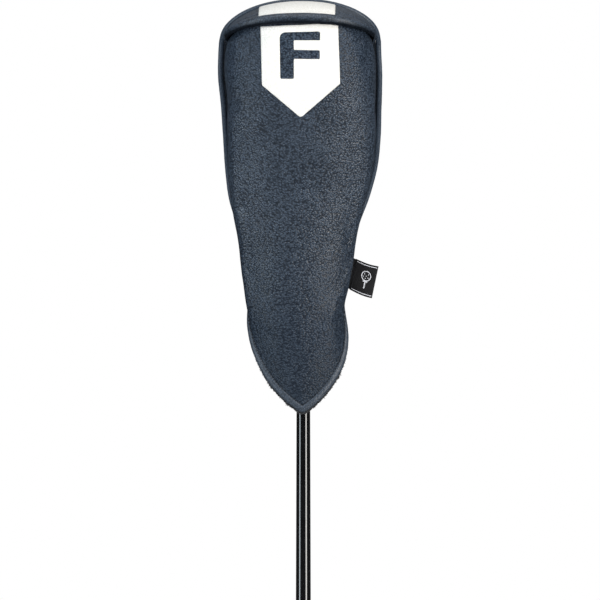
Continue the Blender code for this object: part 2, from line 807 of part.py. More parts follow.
hosel_screw = lathe(
    "hosel_screw",
    [
        (0.0, 1081.0), (3.3, 1081.0), (3.85, 1080.5), (3.85, 1076.4), (2.45, 1076.4),
        (2.45, 1064.6), (1.9, 1064.0), (0.0, 1064.0),
    ],
    SCREW, 24,
)
SCREW_SOCKET_FLOOR_Z = 1078.4
socket_centre = Vector((0, 0, (SCREW_SOCKET_FLOOR_Z + HEX_DEPTH / 2) * MM))
boolean(hosel_screw, hex_cutter("hex_socket", 1.9, Matrix.Translation(socket_centre)))


# ================================================================= club head
# The head's own measures are t along from heel to toe, b back from the face to the
# rear, and u up from sole to crown. Its frame holds them as X = b, Y = t, Z = u.
def head_matrix():
    lie = math.radians(LIE_DEG)
    rear_dir = Vector((1, 0, 0))
    toe_dir = Vector((0, -math.sin(lie), math.cos(lie)))
    crown_dir = Vector((0, -math.cos(lie), -math.sin(lie)))
    turn = Matrix.Rotation(math.radians(HEAD_TURN_DEG), 3, "Z")
    matrix = (turn @ Matrix((rear_dir, toe_dir, crown_dir)).transposed()).to_4x4()
    matrix.translation = Vector((0, 0, SOLE_Z * MM))
    return matrix


HEAD = head_matrix()
head_frame = bpy.data.objects.new("head_frame", None)
CLUB.objects.link(head_frame)
head_frame.matrix_world = HEAD


def head_place(t, b, u):
    """Frame parallel to the head's, at a point of the head."""
    return HEAD @ Matrix.Translation(Vector((b, t, u)) * MM)


def head_object(name, verts_tbu, faces, mat, where):
    obj = new_object(name, [(b, t, u) for t, b, u in verts_tbu], faces, mat, where)
    obj.matrix_world = HEAD
    face_outwards(obj.data, weld=1e-6)
    return obj


CENTRE_T, CENTRE_B = 33.0, 20.0      # centre of the head's plan
HALF_T = 53.0
HALF_REAR, HALF_FACE = 45.0, 42.0
WAIST = 15.0                         # height of the widest level
CROWN_RISE, SOLE_DROP = 22.0, 15.0
REAR_SQUARE, FACE_SQUARE = 2.3, 2.9  # squareness of the plan behind and before the centre
CROWN_FALL = 0.12                    # share of the crown's height lost towards the rear
SOLE_LIFT = 2.2                      # rise of the sole towards heel and toe

FACE_T = CENTRE_T + 3.0              # middle of the face
FACE_B, FACE_FOOT_U = -14.0, 3.0     # the lofted plane passes through this b and u
FACE_MID_U = 18.0
FACE_CURVE_R = 290.0                 # bulge and roll radius


def head_point(theta, s, shrink=0.0):
    """(t, b, u) on the head's blank. s runs from -1 at the sole's middle to 1 at the crown's."""
    c, d = math.cos(theta), math.sin(theta)
    half_b = (HALF_REAR if d >= 0 else HALF_FACE) - shrink
    half_t = HALF_T - shrink
    square = REAR_SQUARE if d >= 0 else FACE_SQUARE
    reach = (abs(c / half_t) ** square + abs(d / half_b) ** square) ** (-1 / square)
    quarter = abs(s) * math.pi / 2
    if s >= 0:
        narrowing = math.cos(quarter) ** 0.92
        height = (CROWN_RISE - shrink) * math.sin(quarter)
    else:
        narrowing = math.cos(quarter) ** 0.62
        height = -(SOLE_DROP - shrink) * math.sin(quarter) ** 1.25
    t = CENTRE_T + reach * narrowing * c
    b = CENTRE_B + reach * narrowing * d
    lift = 0.0
    if height > 0:
        height *= 1 - CROWN_FALL * (b - CENTRE_B) / HALF_REAR
    if height < 0:
        lift = SOLE_LIFT * ((t - CENTRE_T) / HALF_T) ** 2 * (-height / SOLE_DROP)
    return Vector((t, b, WAIST + height + lift))


def blank(name, shrink, mat, where, rings_up=8, rings_down=7, around=36):
    """Closed head shape before the face is cut, drawn in by shrink."""
    levels = [-(k / rings_down) for k in range(rings_down - 1, 0, -1)]
    levels += [k / rings_up for k in range(rings_up)]
    verts = [head_point(0.0, -1.0, shrink)]
    for s in levels:
        verts += [head_point(2 * math.pi * i / around, s, shrink) for i in range(around)]
    verts.append(head_point(0.0, 1.0, shrink))
    top = len(verts) - 1
    faces = []
    for i in range(around):
        j = (i + 1) % around
        faces.append((0, 1 + j, 1 + i))
        faces.append((top, top - around + i, top - around + j))
    for k in range(len(levels) - 1):
        a, b = 1 + k * around, 1 + (k + 1) * around
        for i in range(around):
            j = (i + 1) % around
            faces.append((a + i, a + j, b + j, b + i))
    return head_object(name, verts, faces, mat, where)


def face_block(name, setback):
    """Block in front of the face, its rear side bulged and rolled like the face."""
    cells_t, cells_u = 14, 6
    front_b = -70.0
    verts = []
    for is_front in (False, True):
        for j in range(cells_u + 1):
            u = -14.0 + 72.0 * j / cells_u
            for i in range(cells_t + 1):
                t = -30.0 + 136.0 * i / cells_t
                b = FACE_B + (u - FACE_FOOT_U) * math.tan(math.radians(LOFT_DEG)) + setback
                b += ((t - FACE_T) ** 2 + (u - FACE_MID_U) ** 2) / (2 * FACE_CURVE_R)
                verts.append((t, front_b if is_front else b, u))
    faces = slab_faces(cells_u + 1, cells_t + 1)
    return cutter(head_object(name, verts, faces, STEEL, CUTTERS))


def prism(name, lower, upper):
    """Prism between two outlines of (t, b, u) points."""
    n = len(lower)
    faces = [tuple(range(n))[::-1], tuple(range(n, 2 * n))]
    faces += [(i, (i + 1) % n, n + (i + 1) % n, n + i) for i in range(n)]
    return cutter(head_object(name, lower + upper, faces, STEEL, CUTTERS))


def crown_prism(name, scale, front, notch_r):
    """Upright prism of the crown opening: the head's plan drawn in, kept back from the
    face, with a round notch at the heel to stay clear of the hosel."""
    notch_t = -14.0
    count = 48
    outline_tb = []
    for i in range(count):
        point = head_point(2 * math.pi * i / count, 0.0)
        t = CENTRE_T + (point.x - CENTRE_T) * scale
        b = CENTRE_B + (point.y - CENTRE_B) * scale
        b = max(b, front + (t - FACE_T) ** 2 / (2 * FACE_CURVE_R))
        from_notch = Vector((t - notch_t, b))
        if from_notch.length < notch_r:
            from_notch = from_notch.normalized() * notch_r
            t, b = from_notch.x + notch_t, from_notch.y
        outline_tb.append((t, b))
    return prism(name, *([(t, b, u) for t, b in outline_tb] for u in (WAIST + 2.0, 60.0)))


def face_prism(name, grow):
    """Rounded oblong prism through the face, running from front to rear."""
    count, square = 28, 2.6
    outline_tu = []
    for i in range(count):
        a = 2 * math.pi * i / count
        c, s = math.cos(a), math.sin(a)
        reach = abs(c / (34.0 + grow)) ** square + abs(s / (11.6 + grow)) ** square
        reach = reach ** (-1 / square)
        # the toe end is a little higher
        u = FACE_MID_U + reach * s + 1.5 * max(c, 0.0)
        outline_tu.append((FACE_T + 1.0 + reach * c, u))
    return prism(name, *([(t, b, u) for t, u in outline_tu] for b in (-60.0, 20.0)))


def head_lathe(name, profile, mat, steps, where):
    """Turned piece on the sole weight's axis, its heights measured up the head."""
    obj = lathe(name, profile, mat, steps, where)
    obj.matrix_world = head_place(WEIGHT_T, WEIGHT_B, 0.0)
    return obj


WEIGHT_T, WEIGHT_B = 42.0, 47.0      # axis of the sole weight

# ---------------------------------------------------------------- head cutters
face_front = face_block("face_front", 0.0)
hollow = cutter(blank("hollow", 1.4, STEEL, CUTTERS, 7, 6, 30))
boolean(hollow, face_block("face_rear", 2.6))

# the hosel core and the weight boss are clipped inside the blank
clip = cutter(blank("clip_blank", 0.35, STEEL, CUTTERS))
boolean(clip, face_block("clip_face", 0.4))
hosel_core = cutter(lathe(
    "hosel_core", [(0.0, 1104.0), (8.2, 1104.0), (8.2, 1044.0), (0.0, 1044.0)],
    STEEL, where=CUTTERS,
))
boolean(hosel_core, clip, "INTERSECT")
hosel_neck = cutter(lathe(
    "hosel_neck",
    [(0.0, 1074.0), (HOSEL_R, 1074.0), (HOSEL_R, HOSEL_MOUTH_Z), (0.0, HOSEL_MOUTH_Z)],
    STEEL, where=CUTTERS,
))
boss = cutter(head_lathe(
    "weight_boss", [(0.0, 14.9), (8.4, 14.9), (8.4, -5.0), (0.0, -5.0)], STEEL, 32, CUTTERS
))
boolean(boss, clip, "INTERSECT")
bore_cut = cutter(lathe(
    "bore_cut",
    [
        (0.0, 1112.0), (4.3, 1112.0), (4.3, LEDGE_Z + 3.0), (2.95, LEDGE_Z + 3.0),
        (2.95, LEDGE_Z), (HOSEL_BORE_R, LEDGE_Z), (HOSEL_BORE_R, 1020.0), (0.0, 1020.0),
    ],
    STEEL, where=CUTTERS,
))
weight_cut = cutter(head_lathe(
    "weight_cut",
    [(0.0, 13.4), (4.1, 13.4), (4.1, 7.3), (7.3, 7.3), (7.3, -8.0), (0.0, -8.0)],
    STEEL, 32, CUTTERS,
))

# each hole is a little larger than the piece that fills it
crown_hole = crown_prism("crown_hole", scale=0.90, front=4.0, notch_r=16.2)
crown_region = crown_prism("crown_region", scale=0.892, front=4.4, notch_r=16.7)
face_hole = face_prism("face_hole", grow=0.35)
face_region = face_prism("face_region", grow=0.0)

# ---------------------------------------------------------------- head shell
head_body = blank("head_body", 0.0, STEEL, CLUB)
boolean(head_body, face_front)
boolean(head_body, hollow)
for solid in (hosel_core, hosel_neck, boss):
    boolean(head_body, solid, "UNION")
for hole in (crown_hole, face_hole, bore_cut, weight_cut):
    boolean(head_body, hole)

crown_hollow = cutter(blank("crown_hollow", 1.2, STEEL, CUTTERS))
crown_panel = blank("crown_panel", 0.0, CROWN, CLUB)
boolean(crown_panel, face_front)
boolean(crown_panel, crown_region, "INTERSECT")
boolean(crown_panel, crown_hollow)

face_plate = blank("face_plate", 0.0, FACE, CLUB)
boolean(face_plate, face_front)
boolean(face_plate, face_region, "INTERSECT")
boolean(face_plate, face_block("face_plate_back", 2.3), "INTERSECT")
for obj in (head_body, crown_panel, face_plate):
    round_shading(obj, 35)

# ---------------------------------------------------------------- head weights
BAR_SIZE = (7.0, 36.0, 4.0)          # along b, t, u


def forward_weight_bar():
    """Tungsten bar low behind the face."""
    bm = bmesh.new()
    bmesh.ops.create_cube(bm, size=1.0)
    for vert in bm.verts:
        vert.co = Vector([c * size for c, size in zip(vert.co, BAR_SIZE)]) * MM
    obj = bmesh_object("forward_weight_bar", bm, TUNGSTEN, CLUB)
    obj.matrix_world = head_place(FACE_T + 2, 0.0, 6.0)
    bevel = obj.modifiers.new("edges", "BEVEL")
    bevel.width = 0.9 * MM
    bevel.segments = 2
    return obj


forward_bar = forward_weight_bar()

# the weight with its sealing ring, at the rear of the sole
weight_seal = head_lathe(
    "weight_seal", [(6.6, 7.0), (6.6, 6.2), (4.5, 6.2), (4.5, 7.0)], SEAL, 24, CLUB
)
sole_weight = head_lathe(
    "sole_weight",
    [
        (0.0, 12.3), (3.4, 12.3), (3.95, 11.6), (3.95, 5.9),
        (6.9, 5.9), (6.9, 2.6), (6.5, 2.2), (0.0, 2.2),
    ],
    TUNGSTEN, 28, CLUB,
)
boolean(sole_weight, hex_cutter("weight_socket", 2.3, head_place(WEIGHT_T, WEIGHT_B, 0.8)))

# the head's pieces hang on its frame and keep their places
for obj in (head_body, crown_panel, face_plate, forward_bar, weight_seal, sole_weight):
    world = obj.matrix_world.copy()
    obj.parent = head_frame
    obj.matrix_world = world
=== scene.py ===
"""Looks of a fairway wood standing head up in its leather head cover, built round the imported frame.

The shaft lies on the Z axis and runs up from the grip's end at z = 0. -Y is the cover's front,
which faces the camera, and +X is on the right seen from there. Shapes are worked out in mm and
become metres when a mesh is made.
"""

import json
import math
from types import SimpleNamespace

import bmesh
import bpy
import numpy as np
from mathutils import Matrix, Vector
from mathutils.bvhtree import BVHTree

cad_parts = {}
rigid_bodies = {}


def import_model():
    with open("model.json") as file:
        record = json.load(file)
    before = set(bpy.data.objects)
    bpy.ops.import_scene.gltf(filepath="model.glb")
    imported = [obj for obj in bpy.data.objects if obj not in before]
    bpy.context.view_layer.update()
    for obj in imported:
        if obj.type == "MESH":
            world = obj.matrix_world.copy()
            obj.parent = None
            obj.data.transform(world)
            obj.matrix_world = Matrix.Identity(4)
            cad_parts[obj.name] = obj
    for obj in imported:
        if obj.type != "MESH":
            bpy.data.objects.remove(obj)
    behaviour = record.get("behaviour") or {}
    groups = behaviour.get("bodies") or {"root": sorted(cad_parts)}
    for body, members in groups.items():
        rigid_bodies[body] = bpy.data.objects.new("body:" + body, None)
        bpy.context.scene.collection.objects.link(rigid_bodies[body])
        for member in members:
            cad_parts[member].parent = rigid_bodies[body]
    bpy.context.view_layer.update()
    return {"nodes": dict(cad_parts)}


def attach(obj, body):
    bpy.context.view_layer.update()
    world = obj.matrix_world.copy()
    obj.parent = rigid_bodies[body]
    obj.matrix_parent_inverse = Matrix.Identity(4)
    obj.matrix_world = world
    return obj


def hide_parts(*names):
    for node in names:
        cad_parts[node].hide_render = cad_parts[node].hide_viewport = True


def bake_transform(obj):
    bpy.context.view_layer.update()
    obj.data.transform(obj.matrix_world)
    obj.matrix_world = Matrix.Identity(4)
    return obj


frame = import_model()
MM = 0.001
PI = math.pi

# ================================================================= the cover's shape
# level (0 at the mouth, 0.9 at the ridge), half width, y where widest, front y, back y,
# how far the front's and the back's middle lie above the seam, seam angle in degrees from
# the front's middle, squareness of the section
STATIONS = [
    (0.00, 35.2, -1.0, -13.0, 13.0, -67.0, -67.0, 104.0, 2.15),
    (0.05, 34.2, -1.5, -17.5, 14.5, -57.0, -57.5, 104.0, 2.15),
    (0.10, 35.9, -2.0, -21.0, 17.0, -47.0, -48.0, 104.0, 2.15),
    (0.20, 40.5, -4.0, -27.0, 19.5, -30.0, -31.0, 104.0, 2.20),
    (0.30, 43.9, -8.0, -36.0, 21.5, -17.0, -18.0, 103.5, 2.30),
    (0.40, 49.4, -13.0, -48.0, 23.0, -8.0, -9.0, 101.5, 2.40),
    (0.50, 53.0, -19.0, -61.5, 24.0, -2.0, -3.0, 97.5, 2.50),
    (0.60, 54.2, -26.0, -75.5, 24.0, 2.0, -1.0, 93.5, 2.50),
    (0.70, 55.0, -33.0, -88.5, 22.0, 6.0, -1.0, 91.0, 2.50),
    (0.80, 56.2, -40.0, -98.5, 11.0, 11.0, -1.0, 90.0, 2.50),
    (0.90, 55.4, -47.0, -102.0, -20.0, 17.0, 3.0, 90.0, 2.40),
]
LEVELS, *COLUMNS = zip(*STATIONS)

# z, and the x of the cover's middle there
LEAN = [
    (855, -0.5), (872, -1.2), (890, -1.8), (907, -3.2), (922, -4.8),
    (935, -5.3), (960, -4.6), (985, -4.5), (1009, -3.6), (1031, -1.9),
    (1053, -1.2), (1075, -1.5), (1097, -2.3), (1120, -2.4), (1150, -1.0),
]

RIDGE = LEVELS[-1]
MOUTH_SEAM_Z = 922.0  # the side seam's lower end
SEAM_RISE = 196.5  # from there to the ridge
TOP_SEAM_RISE = 3.0  # from the ridge to the top
TOP_Y, COVER_TOP_Z = -72.0, 1148.0
LEATHER = 1.5  # thickness
FRONT_TOP, BACK_TOP = 0.894, 0.9975  # levels where the two big panels end
NEAR_TOP = 0.9995
BELOW_RIDGE = 0.8999
ABOVE_RIDGE, TOP_EDGE = 0.9005, 0.9999


def smooth(xs, ys, x):
    """Catmull-Rom curve through the points (xs, ys), read at x."""
    if x <= xs[0]:
        return ys[0]
    if x >= xs[-1]:
        return ys[-1]
    i = max(k for k in range(len(xs) - 1) if xs[k] <= x)

    def slope(k):
        before, after = max(k - 1, 0), min(k + 1, len(xs) - 1)
        return (ys[after] - ys[before]) / (xs[after] - xs[before])

    step = xs[i + 1] - xs[i]
    t = (x - xs[i]) / step
    leave, arrive = slope(i) * step, slope(i + 1) * step
    return (
        (2 * t**3 - 3 * t**2 + 1) * ys[i] + (t**3 - 2 * t**2 + t) * leave
        + (-2 * t**3 + 3 * t**2) * ys[i + 1] + (t**3 - t**2) * arrive
    )


def ease(start, end, x):
    """0 up to start, 1 from end on, with a smooth step between."""
    t = np.clip((np.asarray(x, float) - start) / (end - start), 0, 1)
    return t * t * (3 - 2 * t)


def bell(x, width, centre=0.0):
    return np.exp(-(((np.asarray(x, float) - centre) / width) ** 2))


def unit(vectors):
    return vectors / np.maximum(np.linalg.norm(vectors, axis=-1, keepdims=True), 1e-9)


def section(level):
    """Half width, widest y, front y, back y, seam z, two bows, seam angle, squareness, roundness."""
    above = min(1.0, max(0.0, (level - RIDGE) / (1 - RIDGE)))
    below = min(level, RIDGE)
    half_width, widest_y, front_y, back_y, front_bow, back_bow, seam, square = (
        smooth(LEVELS, column, below) for column in COLUMNS
    )
    seam_z = MOUTH_SEAM_Z + SEAM_RISE * below / RIDGE + TOP_SEAM_RISE * above
    if above > 0:
        # over the ridge the front turns back in a quarter arc and the back runs up to meet it
        turn = above * PI / 2
        ridge_z = MOUTH_SEAM_Z + SEAM_RISE
        front_z, back_z = ridge_z + front_bow, ridge_z + back_bow
        front_y = TOP_Y + (front_y - TOP_Y) * math.cos(turn)
        back_y = back_y + (TOP_Y - back_y) * above
        front_z = front_z + (COVER_TOP_Z - front_z) * math.sin(turn)
        back_z = back_z + (COVER_TOP_Z - back_z) * above + 3.0 * math.sin(PI * above)
        front_bow, back_bow = front_z - seam_z, back_z - seam_z
    return (
        half_width - 0.2 * above, widest_y - 2.0 * above, front_y, back_y, seam_z,
        front_bow, back_bow, math.radians(seam), square - 0.4 * above, float(ease(0.3, 0.7, level)),
    )


TABLE_LEVELS = np.linspace(0, 1, 1001)
SECTIONS = np.array([section(level) for level in TABLE_LEVELS]).T
SEAM_ROW = 7
TABLE_Z = np.arange(850.0, 1152.0, 0.25)
TABLE_LEAN = np.array([smooth(*zip(*LEAN), z) for z in TABLE_Z])


def seam_angle(level):
    return np.interp(level, TABLE_LEVELS, SECTIONS[SEAM_ROW])


def lean_x(z):
    return np.interp(z, TABLE_Z, TABLE_LEAN)


def cover(angle, level):
    """Points of the outer skin; angle is 0 at the front's middle and may pass 180 degrees."""
    angle, level = np.broadcast_arrays(np.asarray(angle, float), np.asarray(level, float))
    level = np.clip(level, 0, 1)
    half_width, widest_y, front_y, back_y, seam_z, front_bow, back_bow, seam, square, round_ = (
        np.interp(level, TABLE_LEVELS, row) for row in SECTIONS
    )
    signed = np.where(angle > PI, angle - 2 * PI, angle)
    turn = np.minimum(np.abs(signed), PI)
    cos_turn = np.cos(turn)
    power = 2.0 / square
    reach = np.where(cos_turn >= 0, front_y - widest_y, back_y - widest_y)
    y = widest_y + reach * np.abs(cos_turn) ** power
    front = turn <= seam
    share = np.where(front, turn / seam, (PI - turn) / (PI - seam))
    bow = np.where(front, front_bow, back_bow)
    z = seam_z + bow * ((1 - round_) * (1 - share**1.2) + round_ * np.cos(share * PI / 2))
    x = lean_x(z) + np.sign(signed) * half_width * np.maximum(np.sin(turn), 0.0) ** power
    return np.stack([x, y, z], axis=-1)


def normal_at(angle, level, low=0.0, high=NEAR_TOP):
    """Outward normals; low and high bound the levels sampled, so no crease is straddled."""
    turn, step = 0.006, 0.003
    angle, level = np.broadcast_arrays(np.asarray(angle, float), np.asarray(level, float))
    under = np.clip(level - step, low, high - step)
    over = np.clip(level + step, low + step, high)
    along = cover(angle, over) - cover(angle, under)
    across = cover(angle + turn, level) - cover(angle - turn, level)
    return unit(np.cross(across, along))


def spread(levels, start, end, columns):
    """Angles spacing columns + 1 points evenly along each row, and each row's length."""
    fine = np.linspace(0, 1, 241)
    start, end = np.broadcast_to(start, levels.shape), np.broadcast_to(end, levels.shape)
    angles = start[:, None] + (end - start)[:, None] * fine
    steps = np.linalg.norm(np.diff(cover(angles, levels[:, None]), axis=1), axis=2)
    run = np.concatenate([np.zeros((len(levels), 1)), np.cumsum(steps, axis=1)], axis=1)
    share = np.linspace(0, 1, columns + 1)
    even = [np.interp(share * run[i, -1], run[i], angles[i]) for i in range(len(levels))]
    return np.array(even), run[:, -1]


def panel_ends(seam, trim, back):
    """First and last angle of a panel that stops trim radians short of the seams."""
    return (seam + trim, 2 * PI - seam - trim) if back else (-(seam - trim), seam - trim)


def panel_grid(levels, trim, columns, back=False):
    """Angles, mm from the nearest seam, and share along each row."""
    trim = trim + 0.03 * (1 - ease(0.0, 0.1, levels))
    start, end = panel_ends(seam_angle(levels), trim, back)
    angles, lengths = spread(levels, start, end, columns)
    share = np.linspace(0, 1, columns + 1)[None, :]
    return angles, np.minimum(share, 1 - share) * lengths[:, None], share


# ================================================================= noise
def lattice_value(i, j, k, seed):
    bits = (i * 73856093) ^ (j * 19349663) ^ (k * 83492791) ^ (seed * 40503 + 977)
    bits = (bits ^ (bits >> 13)) & 0xFFFFFFFF
    bits = (bits * 1274126177) & 0xFFFFFFFF
    bits = bits ^ (bits >> 16)
    return (bits & 0xFFFF) / 32767.5 - 1.0


def noise(points, size, seed=0):
    """Smooth value noise in -1..1 with features about size mm across."""
    cells = np.asarray(points, float) / size + 500.0
    base = np.floor(cells).astype(np.int64)
    part = cells - base
    part = part * part * (3 - 2 * part)
    i, j, k = base[..., 0], base[..., 1], base[..., 2]
    total = 0.0
    for x in (0, 1):
        x_weight = part[..., 0] if x else 1 - part[..., 0]
        for y in (0, 1):
            y_weight = part[..., 1] if y else 1 - part[..., 1]
            for z in (0, 1):
                z_weight = part[..., 2] if z else 1 - part[..., 2]
                value = lattice_value(i + x, j + y, k + z, seed)
                total = total + x_weight * y_weight * z_weight * value
    return total


def noise1(run, size, seed=0):
    run = np.asarray(run, float)
    zero = np.zeros_like(run)
    return noise(np.stack([run, zero + seed * 7.3, zero], -1), size, seed)


# ================================================================= mesh making
SCENE = bpy.context.scene
WORK = bpy.data.collections.new("looks")
SCENE.collection.children.link(WORK)
SCRAP = bpy.data.collections.new("scrap")
SCENE.collection.children.link(SCRAP)


def link(obj, where=None):
    (where or WORK).objects.link(obj)
    return obj


def soft_shade(mesh, sharp_angle):
    mesh.shade_smooth()
    if sharp_angle:
        mesh.set_sharp_from_angle(angle=math.radians(sharp_angle))


def mesh_object(name, points, faces, material, sharp_angle=60, where=None):
    mesh = bpy.data.meshes.new(name)
    mesh.from_pydata((np.asarray(points, float) * MM).tolist(), [], faces)
    if material:
        mesh.materials.append(material)
    mesh.validate()
    soft_shade(mesh, sharp_angle)
    return link(bpy.data.objects.new(name, mesh), where)


def scrap_mesh(name, points, faces):
    return mesh_object(name, points, faces, None, 0, SCRAP)


def face_outwards(mesh, merge=False):
    work = bmesh.new()
    work.from_mesh(mesh)
    if merge:
        bmesh.ops.remove_doubles(work, verts=work.verts, dist=1e-7)
    bmesh.ops.recalc_face_normals(work, faces=work.faces)
    work.to_mesh(mesh)
    work.free()


def quads(rows, columns, start=0, flip=False, wrap=False):
    i, j = np.meshgrid(
        np.arange(rows - 1), np.arange(columns if wrap else columns - 1), indexing="ij"
    )
    beside = (j + 1) % columns
    low, low_next = i * columns + j, i * columns + beside
    high_next, high = (i + 1) * columns + beside, (i + 1) * columns + j
    ring = [low, high, high_next, low_next] if flip else [low, low_next, high_next, high]
    return (np.stack(ring, -1).reshape(-1, 4) + start).tolist()


def tube_faces(rows, columns, flip=False):
    """Faces of a closed-ended tube of rows rings."""
    first, last = list(range(columns)), list(range((rows - 1) * columns, rows * columns))
    ends = [first, last[::-1]] if flip else [first[::-1], last]
    return quads(rows, columns, wrap=True, flip=flip) + ends


def prism_faces(count, flip=False):
    """As a tube of two rings, its ends listed first."""
    faces = tube_faces(2, count, flip)
    return faces[-2:] + faces[:-2]


def sheet_faces(outer_shape, inner_shape):
    """Faces of a fine outer grid, an inner one as fine or coarser, and the rim between them."""
    rows, columns = outer_shape
    in_rows, in_columns = inner_shape
    per_row = (rows - 1) // (in_rows - 1)
    per_column = (columns - 1) // (in_columns - 1)
    off = rows * columns
    faces = quads(rows, columns) + quads(in_rows, in_columns, off, flip=True)
    for i in range(in_rows - 1):
        left = [(i * per_row + k) * columns for k in range(per_row + 1)]
        right = [k + columns - 1 for k in left]
        near, far = off + i * in_columns, off + (i + 1) * in_columns
        faces.append(left + [far, near])
        faces.append(right[::-1] + [near + in_columns - 1, far + in_columns - 1])
    for j in range(in_columns - 1):
        low = [j * per_column + k for k in range(per_column + 1)]
        high = [(rows - 1) * columns + k for k in low]
        faces.append(low[::-1] + [off + j, off + j + 1])
        last = off + (in_rows - 1) * in_columns + j
        faces.append(high + [last + 1, last])
    return faces


def sheet(outer, inner):
    """Points and faces of a closed sheet."""
    points = np.concatenate([outer.reshape(-1, 3), inner.reshape(-1, 3)])
    return points, sheet_faces(outer.shape[:2], inner.shape[:2])


def closed_sheet(name, outer, inner, material):
    return mesh_object(name, *sheet(outer, inner), material, 70)


def run_of(path):
    steps = np.linalg.norm(np.diff(path, axis=0), axis=1)
    return np.concatenate([[0], np.cumsum(steps)])


def resample(path, step):
    path = np.asarray(path, float)
    run = run_of(path)
    count = max(2, int(round(run[-1] / step)) + 1)
    even = np.linspace(0, run[-1], count)
    return np.stack([np.interp(even, run, path[:, k]) for k in range(3)], -1), even


def soften(path, sigma):
    """Gaussian along the path, its ends kept."""
    reach = int(3 * sigma)
    kernel = np.exp(-0.5 * (np.arange(-reach, reach + 1) / sigma) ** 2)
    kernel /= kernel.sum()
    before = 2 * path[:1] - path[reach:0:-1]
    after = 2 * path[-1:] - path[-2: -reach - 2: -1]
    longer = np.concatenate([before, path, after])
    return np.stack([np.convolve(longer[:, k], kernel, "valid") for k in range(3)], -1)


def round_angles(count):
    return 2 * PI * np.arange(count) / count


def sweep(name, path, up, profile, material):
    """profile: (sections, points, 2) offsets along the path's normal and binormal."""
    tangent = unit(np.gradient(path, axis=0))
    normal = unit(up - tangent * np.sum(up * tangent, axis=1, keepdims=True))
    binormal = np.cross(tangent, normal)
    points = path[:, None, :] + normal[:, None, :] * profile[..., 0:1]
    points = points + binormal[:, None, :] * profile[..., 1:2]
    faces = tube_faces(*points.shape[:2], flip=True)
    return mesh_object(name, points.reshape(-1, 3), faces, material)


def lathe(name, profile, material, steps=96, sharp_angle=30, bulge=None, where=None):
    """Turned piece from a closed or axis-to-axis profile of (radius, z).

    bulge(radius, z, angle) is added to the radius.
    """
    profile = np.array(profile, float)
    on_axis = profile[:, 0] < 1e-6
    points, rings = [], []
    for (radius, z), at_axis in zip(profile, on_axis):
        if at_axis:
            rings.append([len(points)] * steps)
            points.append((0, 0, z))
            continue
        rings.append(list(range(len(points), len(points) + steps)))
        for angle in round_angles(steps):
            local = radius + (bulge(radius, z, angle) if bulge else 0)
            points.append((local * math.cos(angle), local * math.sin(angle), z))
    faces = []
    count = len(profile)
    for i in range(count - 1 if on_axis[0] and on_axis[-1] else count):
        this, following = rings[i], rings[(i + 1) % count]
        for k in range(steps):
            m = (k + 1) % steps
            face = list(dict.fromkeys([this[k], following[k], following[m], this[m]]))
            if len(face) > 2:
                faces.append(face)
    return mesh_object(name, points, faces, material, sharp_angle, where)


def corner_curve(start, corner, end, steps):
    """Quadratic curve from start to end, drawn towards the corner."""
    out = []
    for k in range(steps + 1):
        f = k / steps
        out.append(tuple((1 - f) ** 2 * start + 2 * f * (1 - f) * corner + f * f * end))
    return out


def rounded_profile(corners):
    """Profile from (radius, z, rounding) corners; the first and last stay sharp."""
    out = []
    for i, (radius, z, rounding) in enumerate(corners):
        corner = np.array((radius, z), float)
        if rounding <= 0 or i in (0, len(corners) - 1):
            out.append(tuple(corner))
            continue
        before = np.array(corners[i - 1][:2], float) - corner
        after = np.array(corners[i + 1][:2], float) - corner
        sides = np.linalg.norm(before), np.linalg.norm(after)
        reach = min(rounding, 0.45 * sides[0], 0.45 * sides[1])
        start, end = corner + before / sides[0] * reach, corner + after / sides[1] * reach
        out += corner_curve(start, corner, end, 4)
    return out


def merged(parts):
    """Many small meshes (points, faces) as one."""
    points, faces, off = [], [], 0
    for part_points, part_faces in parts:
        points.append(np.asarray(part_points, float))
        faces += [[k + off for k in face] for face in part_faces]
        off += len(part_points)
    return np.concatenate(points), faces


def join_parts(name, parts, material, sharp_angle=60):
    return mesh_object(name, *merged(parts), material, sharp_angle)


def capsule(start, end, radius, side):
    """Short thread with rounded ends; side is a vector off its axis."""
    sides = 6
    start, end = np.asarray(start, float), np.asarray(end, float)
    axis = unit(end - start)
    normal = unit(side - axis * np.dot(side, axis))
    binormal = np.cross(axis, normal)
    length = np.linalg.norm(end - start)
    # share of the length, share of the radius
    rings = [(0.0, 0.35), (0.12, 0.8), (0.3, 1.0), (0.7, 1.0), (0.88, 0.8), (1.0, 0.35)]
    points = []
    for share, size in rings:
        for i in range(sides):
            angle = 2 * PI * i / sides
            around = math.cos(angle) * normal + math.sin(angle) * binormal
            points.append(start + axis * length * share + radius * size * around)
    return points, tube_faces(len(rings), sides, flip=True)


# ================================================================= materials
def add_node(tree, kind, inputs=None, **settings):
    """New node; each entry of inputs is a socket to link or a value to set."""
    node = tree.nodes.new(kind)
    for key, value in settings.items():
        setattr(node, key, value)
    for key, value in (inputs or {}).items():
        if isinstance(value, bpy.types.NodeSocket):
            tree.links.new(value, node.inputs[key])
        else:
            node.inputs[key].default_value = value
    return node


def toned(colour, factor, lift=0.0):
    return tuple(min(1.0, c * factor + lift) for c in colour[:3]) + (1.0,)


